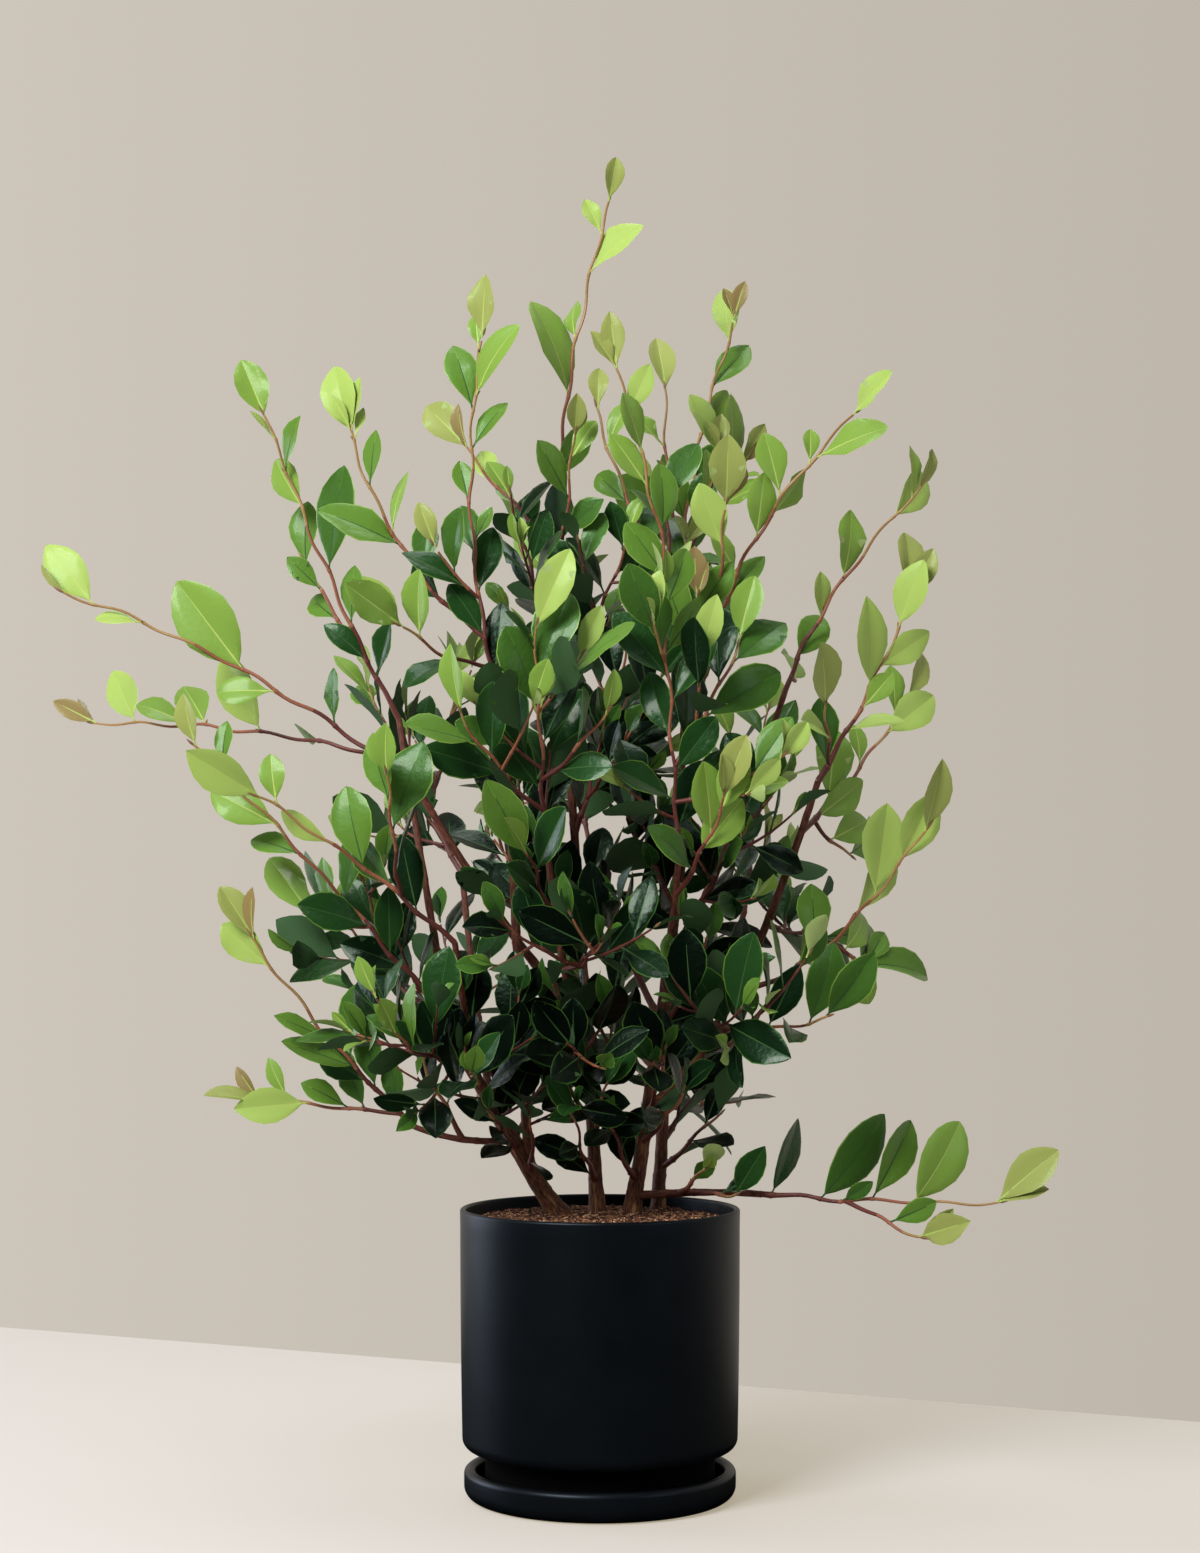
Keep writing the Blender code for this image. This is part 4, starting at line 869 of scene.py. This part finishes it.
        shoot("stem", 0.15, (-165, 150, 520), 0.06, 69, twigSpacing=0.07),
    ]),
    "back_foliage": ("full", [
        shoot("back_bough", 1.0, (-40, 205, 760), 0.04, 70),
        shoot("stem", 0.25, (30, 240, 620), 0.06, 71),
        shoot("stem", 0.15, (-60, 240, 560), 0.06, 72),
    ]),
    "back_right_foliage": ("full", [
        shoot("back_right_bough", 1.0, (142, 215, 620), 0.04, 73, twigSpacing=0.085),
        shoot("stem", 0.3, (110, 230, 600), 0.06, 74),
        shoot("stem", 0.15, (140, 190, 510), 0.06, 75, twigSpacing=0.062),
    ]),
    "low_back_foliage": ("inner", [
        shoot("back_stem", 0.17, (60, 205, 360), 0.08, 76),
        shoot("stem", 0.45, (0, 190, 370), 0.05, 77),
        shoot("back_stem", 0.12, (88, 110, 325), 0.05, 78),
        shoot("back_stem", 0.07, (92, 30, 292), 0.03, 88, tipLeaf=40, **lowest),
    ]),
    "low_back_left_foliage": ("inner", [
        shoot("back_left_bough", 0.42, (-150, 150, 370), 0.05, 79),
        shoot("stem", 0.45, (-85, 160, 390), 0.05, 80),
        shoot("left_stem", 0.36, (-40, 80, 330), 0.05, 81),
    ]),
}
growth = {
    "step": 0.006, "tries": 7,
    "near": 0.095,  # how near another leaf or twig has to be for it to be in the way
    "proud": 0.006,  # how far leaves may stand past the solids' box
    "shoot": (0.0019, 0.0009), "twig": (0.0013, 0.0008), "footReach": 0.022,
    "sway": 0.0016, "swayLength": 0.055, "swayFrom": 0.04,
    "twigSlant": (36.0, 58.0), "twigTurn": 137.5, "twigBare": 0.20, "twigSpacing": 0.020, "rise": 0.16,
    "tipSlant": (4.0, 24.0), "hangBelow": 0.315, "hangReach": 0.080, "jitter": 0.16, "roll": 0.275,
    "plane": (0.30, 0.10),  # how far a leaf's plane strays, and how much more with each try
    "up": 0.45, "outwards": 0.60, "along": 0.35, "slack": 0.0045,
    "middle": (-0.02, 0.045), "reach": 0.24,  # the crown's axis, and how far out its shade reaches
    "shadeTop": 0.82, "shadeDepth": 0.20, "shading": 4.0, "mottle": 0.55,
    "firstLeaf": 0.008, "lastLeaf": 0.010,  # the least that leaves keep from a stem's foot and from its tip
    "leafGaps": (0.8, 1.25),  # by chance
    "closer": 0.45, "smaller": 0.30,  # how gaps and leaves shrink towards the tip
    "tipLeaf": 0.82, "tipLeaves": ((1.0, 0.3), (0.7, 0.7), (0.5, 1.0)),  # size, and how young
    "firstTwig": 0.012, "twigGaps": (0.8, 1.2), "shorter": 0.35,
    "thin": 0.0022, "thick": 0.0028,  # the radii of twigs and shoots that others keep clear of
    "sizes": (0.95, 1.08), "groups": 0.4, "twigGroups": 0.5, "close": (0.92, 1.18), "twigClose": (0.85, 1.25),
}
leafForm = {
    # Pairs are from and to, by chance. Less and more are for the youngest leaf
    "size": (0.88, 1.12), "width": (0.48, 0.61), "widthLess": 0.12, "stalk": 0.0045, "stalkLess": 0.002,
    "fold": (2, 16), "foldMore": 24, "bend": (0.10, 0.60), "straighten": 0.05, "pillow": (0.03, 0.10),
    "twist": 0.16, "peak": (1.02, 1.32), "full": (0.68, 0.86), "fullMore": 0.10, "wave": 0.090,
    "clear": 0.0008, "shell": 0.0022,
    "tinged": 0.036,  # leaves longer than this are never bronze
}
twigForm = {
    "swell": 0.35, "swellReach": 0.0016, "sides": 6, "bud": (0.0045, 0.0009), "tipBud": (0.0080, 0.0012),
    "budLean": 0.45, "budLine": (0.0, 0.3, 0.65, 1.0), "budWidths": (0.7, 1.0, 0.7, 0.12),
}


def bladeShell(leaf):
    # The leaf as an eight-faced shell bent as the blade is, for telling whether its place is free
    length, width, bend = leaf["length"], leaf["width"], leaf["bend"]
    foot = leaf["root"] + leaf["heading"] * leaf["stalk"]
    across = np.cross(leaf["normal"], leaf["heading"])

    def spot(u, side, rise):
        ahead = length * math.sin(bend * u) / bend
        drop = length * (1 - math.cos(bend * u)) / bend
        return foot + leaf["heading"] * ahead + across * side + leaf["normal"] * (rise - drop)

    edge = width / 2
    lift = edge * math.tan(leaf["fold"])
    corners = [spot(0, 0, 0), spot(0.52, -edge, lift), spot(0.52, edge, lift), spot(1, 0, 0)]
    deep = leafForm["shell"]
    corners += [spot(0.5, 0, deep + max(0, leaf["pillow"] * edge)), spot(0.5, 0, -deep)]
    faces = [(0, 1, 4), (1, 3, 4), (3, 2, 4), (2, 0, 4), (1, 0, 5), (3, 1, 5), (2, 3, 5), (0, 2, 5)]
    return np.array(corners), np.array(faces)


def stemShell(path, radius):
    surface, patches = tube(path, np.full(len(path), radius), 4)
    return surface, patches[0][0]


def isFree(spray, shell, offStem):
    # Inside the box, clear of wood and of other sprays, and, off its own stem, clear of its own spray
    corners, faces = shell
    if (corners < growthBox[0]).any() or (corners > growthBox[1]).any():
        return False
    faces = faces.tolist()
    tree = BVHTree.FromPolygons(corners.tolist(), faces)
    if any(tree.overlap(other) for other in fixedTrees + sprayTrees):
        return False
    tree = BVHTree.FromPolygons(offStem.tolist(), faces)
    middle = corners.mean(axis=0)
    for other, centre, size in spray["trees"]:
        if np.abs(centre - middle).max() < growth["near"] + size and tree.overlap(other):
            return False
    return True


def take(spray, shell):
    corners, faces = shell
    tree = BVHTree.FromPolygons(corners.tolist(), faces.tolist())
    spray["trees"].append((tree, corners.mean(axis=0), np.ptp(corners, axis=0).max() / 2))
    spray["shells"].append(shell)


def scatter(draw, size):
    return np.array([draw.gauss(0, size) for _ in range(3)])


def toneFor(spray, share, spot, group):
    # Younger towards the tip, and alike within one twig. Inside the crown leaves are older and darker, the
    # darkening partly painted shade, deeper lower down and nearer the axis
    first, last = spray["manner"]["tones"]
    tone = first + (last - first) * share + group + spray["draw"].gauss(0, growth["mottle"])
    out = math.hypot(spot[0] - growth["middle"][0], spot[1] - growth["middle"][1]) / growth["reach"]
    # Painted shade: down the ladder inside the crown, more so lower down and nearer its axis
    if out < 1 and spot[2] < growth["shadeTop"]:
        deep = min(1.0, (growth["shadeTop"] - spot[2]) / growth["shadeDepth"])
        tone -= growth["shading"] * (1 - out) * deep
    return int(np.clip(round(tone), 0, len(ladder) - 1))


def addLeaf(spray, point, along, hand, length, tone, young=0.0, tip=False):
    # Tried a few ways, on the hand's side of its stem in the plane that faces outwards, forwards and up.
    # A young leaf is slimmer and more folded, on a shorter stalk
    draw = spray["draw"]
    manner = spray["manner"]
    form = leafForm
    out = np.array([point[0] - growth["middle"][0], point[1] - growth["middle"][1], 0.0])
    face = growth["outwards"] * out / (np.linalg.norm(out) + 0.05) + [0, -manner["front"], growth["up"]]
    hang = manner["hang"] * np.clip((growth["hangBelow"] - point[2]) / growth["hangReach"], 0, 1)
    stray, more = growth["plane"]
    for attempt in range(growth["tries"]):
        plane = unit(face + scatter(draw, stray + more * attempt))
        across = unit(np.cross(along, plane)) * hand
        slant = math.radians(draw.uniform(*growth["tipSlant"] if tip else manner["slant"]))
        heading = along * math.cos(slant) + across * math.sin(slant) + scatter(draw, growth["jitter"])
        heading = unit(heading + [0, 0, draw.uniform(*manner["lift"]) - hang])
        normal = plane * manner["facing"] + along * growth["along"] + scatter(draw, growth["roll"])
        normal = unit(normal - heading * (normal @ heading))
        size = length * draw.uniform(*form["size"])
        leaf = {
            "root": point + heading * form["clear"], "heading": heading, "normal": normal, "length": size,
            "width": size * (draw.uniform(*form["width"]) - form["widthLess"] * young),
            "stalk": form["stalk"] - form["stalkLess"] * young,
            "fold": math.radians(draw.uniform(*form["fold"]) + form["foldMore"] * young),
            "bend": draw.uniform(*form["bend"]) - form["straighten"],
            "pillow": draw.uniform(*form["pillow"]),
            "twist": draw.gauss(0, form["twist"]),
            "peak": draw.uniform(*form["peak"]),
            "full": draw.uniform(*form["full"]) + form["fullMore"] * young,
            "wave": draw.gauss(0, form["wave"]),
            "phase": draw.uniform(0, 6.28),
            "tone": tone if size < form["tinged"] else min(tone, ladder.index("olive" if tip else "lime")),
        }
        shell = bladeShell(leaf)
        if isFree(spray, shell, shell[0] + heading * growth["slack"]):
            spray["leaves"].append(leaf)
            take(spray, shell)
            return


def addStem(spray, path, radii, young, nodes):
    # Young is how green the wood is at its foot and at its tip, from 0 to 1
    spray["stems"].append({"path": path, "radii": radii, "young": young, "nodes": nodes})


def leafStem(spray, path, bare, spacing, lengths, tones, group, own):
    # Leaves alternate from side to side, closer and smaller towards the tip, or stand where they are
    # set as (share of the way, side, length). A few young ones and a pointed bud end the stem. Gives
    # back how far along each node is
    draw = spray["draw"]
    total = reachOf(path)[-1]
    hand = draw.choice((-1, 1))
    far = max(bare * total, growth["firstLeaf"]) + draw.uniform(0, 0.3) * spacing
    leaves = list(own.get("leaves", ()))
    while far < total - growth["lastLeaf"] and "leaves" not in own:
        share = far / total
        length = draw.uniform(*lengths) * spray["size"] * (1.0 - growth["smaller"] * share ** 4)
        leaves.append((share, hand, length))
        hand = -hand
        far += spacing * draw.uniform(*growth["leafGaps"]) * (1.0 - growth["closer"] * share)
    for share, side, length in leaves:
        spot, along = (np.array(v) for v in spotAlong(path, share))
        tone = toneFor(spray, tones[0] + (tones[1] - tones[0]) * share, spot, group)
        addLeaf(spray, spot, along, side, length, tone, 0.5 * max(0, tone - 6) / 2)
    spot, along = (np.array(v) for v in spotAlong(path, 1.0))
    top = draw.uniform(*spray["manner"]["tips"]) + group * 0.5
    tipLeaf = own.get("tipLeaf", lengths[0] * spray["size"] * growth["tipLeaf"])
    for size, young in growth["tipLeaves"][:draw.choice((1, 2, 2, 3))]:
        tone = int(np.clip(round(top + young), 0, len(ladder) - 1))
        back = spot - along * 0.004 * (1 - young)
        addLeaf(spray, back, along, hand, tipLeaf * size, tone, young, True)
        hand = -hand
    return [share * total for share, _, _ in leaves]


def growTwig(spray, path, far, turn, tones, reach):
    # A twig leaves its shoot at a slant, and is left out where its place isn't free
    draw = spray["draw"]
    manner = spray["manner"]
    total = reachOf(path)[-1]
    point, along = spotAlong(path, far / total)
    turn = math.radians(turn + draw.uniform(-30, 30))
    side = Matrix.Rotation(turn, 3, along) @ along.orthogonal().normalized()
    for _ in range(growth["tries"]):
        slant = math.radians(draw.uniform(*growth["twigSlant"]))
        heading = np.array(along * math.cos(slant) + side * math.sin(slant))
        length = draw.uniform(*manner["twig"]) * reach
        tip = np.array(point) + heading * length + [0, 0, growth["rise"] * length]
        twig = saggingPath(point, tip, draw.uniform(0.02, 0.07), growth["step"])
        shell = stemShell(twig[::2], growth["thin"])
        off = twig[::2] + heading * 0.006
        if isFree(spray, shell, stemShell(off, growth["thin"])[0]):
            group = draw.gauss(0, growth["twigGroups"])
            take(spray, shell)
            bare, spacing = growth["twigBare"], growth["twigSpacing"]
            nodes = leafStem(spray, twig, bare, spacing, manner["leaf"], tones, group, {})
            addStem(spray, twig, np.linspace(*growth["twig"], len(twig)), tones, nodes)
            return


def swayed(path, draw):
    # Bent from side to side by a few millimetres along its length, and nothing at its foot
    far = reachOf(path)
    ahead = unit(path[-1] - path[0])
    side = unit(np.cross(ahead, [0.2, 0.9, 0.3]))
    other = np.cross(ahead, side)
    rise = np.clip(far / growth["swayFrom"], 0, 1) * growth["sway"]
    waves = np.sin(far / growth["swayLength"] * math.tau + draw.uniform(0, 6)) * rise
    more = np.sin(far / growth["swayLength"] * 4.1 + draw.uniform(0, 6)) * rise
    return path + side * waves[:, None] + other * more[:, None]


def planShoots(name):
    # The spray's shoots as (path, radii), each first as thick as the limb that it grows on
    shoots = []
    for parent, share, tip, sag, bow, seed, _ in sprays[name][1]:
        start, _ = spotAlong(limbs[parent]["path"] if parent != "stem" else shoots[0][0], share)
        path = swayed(saggingPath(start, tip, sag, growth["step"]), random.Random(seed))
        t = np.linspace(0, 1, len(path))[:, None]
        path = path + 4 * t * (1 - t) * bow
        thick, thin = growth["shoot"]
        foot = thick
        if parent != "stem":
            total = limbs[parent]["total"]
            foot = min(1.03 * float(limbRadius(share * total, total, *limbs[parent]["ends"], 0)), 0.0032)
        far = reachOf(path)
        radii = thick + (thin - thick) * (far / far[-1]) ** 0.8
        shoots.append((path, radii + max(0, foot - thick) * np.exp(-far / growth["footReach"])))
    return shoots


def growShoot(spray, path, radii, seed):
    # One shoot's leaves and then its twigs, turned by the golden angle from one to the next. The seed
    # also settles how close its leaves and twigs stand, how big they are and how light
    draw = random.Random(seed)
    spray["draw"] = draw
    manner = spray["manner"]
    spray["size"] = draw.uniform(*growth["sizes"])
    group = draw.gauss(0, growth["groups"])
    close = draw.uniform(*growth["close"])
    spacing = manner["spacing"] * close
    nodes = leafStem(spray, path, manner["bare"], spacing, manner["leaf"], (0.0, 1.0), group, manner)
    addStem(spray, path, radii, (0.0, 1.0), nodes)
    total = reachOf(path)[-1]
    spacing = manner["twigSpacing"] * draw.uniform(*growth["twigClose"])
    far = max(manner["bare"] * total, growth["firstTwig"]) + draw.uniform(0, 0.5) * spacing
    turn = draw.uniform(0, 360)
    while far < manner["twigsTo"] * total:
        share = far / total
        growTwig(spray, path, far, turn, (share, min(1.0, share + 0.35)), 1.0 - growth["shorter"] * share)
        turn += growth["twigTurn"]
        far += spacing * draw.uniform(*growth["twigGaps"])


def growSpray(name):
    # The shoots' own places are taken first, and the whole spray's when it is done
    manner = sprays[name][0]
    spray = {"trees": [], "shells": [], "stems": [], "leaves": []}
    shoots = planShoots(name)
    for path, _ in shoots:
        take(spray, stemShell(path[::3], growth["thick"]))
    for (path, radii), (*_, seed, own) in zip(shoots, sprays[name][1]):
        placed = manners["placed"] if "leaves" in own else {}
        spray["manner"] = {**manners["usual"], **manners[manner], **placed, **own}
        growShoot(spray, path, radii, seed)
    corners, faces = [], []
    for shell, patch in spray["shells"]:
        faces += (patch + len(corners)).tolist()
        corners += shell.tolist()
    sprayTrees.append(BVHTree.FromPolygons(corners, faces))
    return spray


# Leaf and twig surfaces

blade = {
    # Rings along the blade, after the stalk's foot, and lanes across it, before the keel underneath
    "stations": (0.0, 0.08, 0.22, 0.40, 0.58, 0.75, 0.88, 0.96, 1.0),
    "lanes": (-1.0, -0.94, -0.5, -0.1, 0.1, 0.5, 0.94, 1.0),
    "stalkRadius": 0.00075, "rib": 0.0006, "groove": 0.00025, "keel": 0.0008, "tip": 0.0002,
    "waves": 9.4,  # of the edge, in radians over the length
    # Strips between lanes: a pale rim at each edge, a painted highlight where light catches the margin of old
    # leaves, a pale rib as far as this ring, then the underside
    "litRimStrips": [0, 6], "ribStrip": 3, "paleTo": 6, "underFrom": 7,
}


def bladeSurfaces(leaves):
    # Half-width W/2 sin(pi u^peak)^full at share u of the length. Height: the halves folded up by
    # the fold's tangent, a convex pillow between edge and midrib, a groove along the rib and a wave
    # along the edge, all turned by the twist and carried along an arc of the bend's angle
    def column(key):
        return np.array([leaf[key] for leaf in leaves], float)

    u = np.array([0.0, *blade["stations"]])[None, :, None]
    stalk = np.array([1.0, 1.0] + [0.0] * (len(blade["stations"]) - 1))[None, :, None]
    v = np.array([*blade["lanes"], 0.0])[None, None, :]
    under = np.array([0.0] * len(blade["lanes"]) + [1.0])[None, None, :]
    length, width, fold, bend, pillow, twist, peak, full, wave, phase, stalkLength = (
        column(key)[:, None, None] for key in (
            "length", "width", "fold", "bend", "pillow", "twist", "peak", "full", "wave", "phase", "stalk"))
    half = width / 2 * np.sin(math.pi * np.clip(u, 0, 1) ** peak).clip(0) ** full
    half = np.maximum(half, np.where(u > 0.99, blade["tip"], blade["stalkRadius"]))
    rib = np.minimum(blade["rib"] * (1.15 - u), half * 0.3)
    y = np.where(np.abs(v) < 0.2, np.sign(v) * rib, v * half)
    z = np.abs(y) * np.tan(fold) * np.clip(u / 0.2, 0, 1)
    z = z + pillow * half * (1 - (2 * np.abs(v) - 1) ** 2) - blade["groove"] * (np.abs(v) < 0.2)
    z = z + wave * half * v ** 2 * np.sin(u * blade["waves"] + phase + v)
    z = np.where(under > 0, -blade["keel"] * (1.25 - u), z)
    rod = blade["stalkRadius"] * np.where(under > 0, -1.0, np.sqrt(1 - v ** 2))
    z = np.where(stalk > 0, rod, z)
    turn = twist * u
    y, z = y * np.cos(turn) - z * np.sin(turn), y * np.sin(turn) + z * np.cos(turn)
    first = np.zeros_like(u)
    first[0, 0, 0] = 1.0
    ahead = length * np.sin(bend * u) / bend - stalkLength * first + z * np.sin(bend * u)
    rise = -length * (1 - np.cos(bend * u)) / bend + z * np.cos(bend * u)
    heading, normal, root = column("heading"), column("normal"), column("root")
    across = np.cross(normal, heading)
    foot = root + heading * column("stalk")[:, None]
    corners = foot[:, None, None] + ahead[..., None] * heading[:, None, None]
    corners = corners + y[..., None] * across[:, None, None] + rise[..., None] * normal[:, None, None]
    rings, lanes = u.shape[1], v.shape[2]
    quads, ends = ringFaces(rings, lanes)
    starts = (np.arange(len(leaves)) * rings * lanes)[:, None, None]
    tone = column("tone").astype(int)
    young = tone >= 5
    numbers = np.broadcast_to(tone[:, None, None], (len(leaves), rings - 1, lanes)).copy()
    tinge = np.where(tone > leafSlots["lime"], tone, np.minimum(tone + 1, leafSlots["lime"]))
    ribs = np.where(young, leafSlots["youngRib"], leafSlots["oldRib"])
    # Painted highlight: the edges of old leaves two steps lighter, as where light catches the margin
    rimHighlights = np.where(young, tone, np.clip(tone + 2, leafSlots["green"], leafSlots["spring"]))
    backs = np.where(young, leafSlots["youngUnder"], leafSlots["oldUnder"])
    numbers[:, :, blade["ribStrip"]] = tinge[:, None]
    numbers[:, :blade["paleTo"], blade["ribStrip"]] = ribs[:, None]
    numbers[:, :, blade["litRimStrips"]] = rimHighlights[:, None, None]
    numbers[:, :, blade["underFrom"]:] = backs[:, None, None]
    numbers[:, 0] = ribs[:, None]
    return corners.reshape(-1, 3), [
        ((quads.reshape(1, -1, 4) + starts).reshape(-1, 4), numbers.reshape(-1)),
        ((ends + starts).reshape(-1, lanes), np.repeat(tone, 2)),
    ]


def stemSurfaces(spray):
    # A tube for each shoot and twig, swollen by a third at each node, red-brown at its foot and
    # olive at its tip, with a scale-covered bud in each axil and a longer one at the end
    form = twigForm
    surfaces = []
    draw = random.Random(5)
    for stem in spray["stems"]:
        total = reachOf(stem["path"])[-1]
        steps = [np.arange(0, total, growth["step"]), [total]]
        steps += [[node - 0.0015, node, node + 0.0015] for node in stem["nodes"]]
        far = np.unique(np.concatenate(steps).round(5))
        far = far[(far >= 0) & (far <= total)]
        path = pointsAlong(stem["path"], far)
        radii = np.interp(far, reachOf(stem["path"]), stem["radii"])
        for node in stem["nodes"]:
            radii = radii * (1 + form["swell"] * np.exp(-((far - node) / form["swellReach"]) ** 2))
        share = stem["young"][0] + (stem["young"][1] - stem["young"][0]) * far[:-1] / total
        share = share * spray["manner"]["green"]
        number = np.clip((share * 3 + draw.uniform(-0.3, 0.3)).astype(int), 0, 2)
        surfaces.append(tube(path, radii, form["sides"], number))
        for node in [*stem["nodes"], total]:
            end = node == total
            long, wide = form["tipBud" if end else "bud"]
            spot, along = (np.array(v) for v in spotAlong(stem["path"], node / total))
            lean = along if end else unit(along + scatter(draw, form["budLean"]))
            line = spot + lean * np.array(form["budLine"])[:, None] * long * draw.uniform(0.8, 1.15)
            surfaces.append(tube(line, np.array(form["budWidths"]) * wide, 5, 3))
    return surfaces


def leafMaterial(name, colour, roughness, coat, quilt):
    # A waxy cuticle over green cells, which tint its broad sheen: glossy and quilted between the
    # veins, 4 mm apart, on old leaves, and softer and smoother on young ones
    sockets = {"Base Color": linear(colour), "Roughness": roughness, "Specular IOR Level": 0.34,
               "Specular Tint": linear("#A8DCB4"), "Coat Weight": coat, "Coat Roughness": 0.13}
    relief = {"Strength": quilt, "Distance": 0.0012}
    return skinMaterial(name, sockets, {"Scale": 240.0, "Detail": 2.0}, relief)


def shootMaterial(name, colour, roughness):
    # Young camellia wood: thin satin skin with fine lengthwise wrinkles and tiny pores, under 1 mm
    sockets = {"Base Color": linear(colour), "Roughness": roughness}
    relief = {"Strength": 0.3, "Distance": 0.0003}
    return skinMaterial(name, sockets, {"Scale": 1200.0, "Detail": 2.0}, relief)


leafColours = {
    # colour, roughness, coat, quilting
    "shade": ("#040D07", 0.36, 0.16, 0.50),
    "dark": ("#0C220F", 0.36, 0.20, 0.50),
    "deep": ("#1B3D17", 0.38, 0.20, 0.46),
    "green": ("#395E20", 0.40, 0.18, 0.42),
    "fresh": ("#557A2B", 0.42, 0.16, 0.28),
    "spring": ("#73943C", 0.44, 0.16, 0.16),
    "lime": ("#96B058", 0.50, 0.10, 0.08),
    "olive": ("#8C9650", 0.50, 0.10, 0.08),
    "bronze": ("#86744A", 0.50, 0.08, 0.08),
    "youngUnder": ("#94A968", 0.62, 0.0, 0.15),
    "oldUnder": ("#34502F", 0.62, 0.0, 0.20),
    "youngRib": ("#A0B45E", 0.50, 0.0, 0.10),
    "oldRib": ("#33502A", 0.50, 0.0, 0.10),
}
shootColours = {
    # colour, roughness
    "maroonShoot": ("#602C25", 0.55),
    "tanShoot": ("#8A523A", 0.55),
    "oliveShoot": ("#967446", 0.50),
    "scaleBud": ("#7A5A3C", 0.50),
}
leafSlots = {name: number for number, name in enumerate(leafColours)}
leafMaterials = [leafMaterial(name + "Leaf", *values) for name, values in leafColours.items()]
shootMaterials = [shootMaterial(name, *values) for name, values in shootColours.items()]
growthBox = np.array(cadBox) + np.array([[-1], [1]]) * growth["proud"]
potShell, potFaces = turned([(0.0, 0.2225), (0.1090, 0.2225), (0.1085, 0.0), (0.0, 0.0)], 32)
fixedTrees = woodTrees + [BVHTree.FromPolygons(potShell.tolist(), potFaces[0][0].tolist())]
sprayTrees = []
leafCount = 0
for name, (manner, _) in sprays.items():
    spray = growSpray(name)
    leafCount += len(spray["leaves"])
    slot = "young_leaves" if manner in ("open", "sparse") else "old_leaves"
    leafPiece = makePiece(name + "Leaves", [bladeSurfaces(spray["leaves"])], leafMaterials)
    twigPiece = makePiece(name + "Twigs", stemSurfaces(spray), shootMaterials, 60)
    settle(leafPiece, slot, name)
    settle(twigPiece, "bark", name)
    print(name, len(spray["leaves"]), "leaves,", len(spray["stems"]), "stems")
print("leaves in all:", leafCount)

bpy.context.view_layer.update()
meshes = [thing.data for thing in bpy.data.objects if thing.type == "MESH"]
print("triangles:", sum(len(mesh.loops) - 2 * len(mesh.polygons) for mesh in meshes))
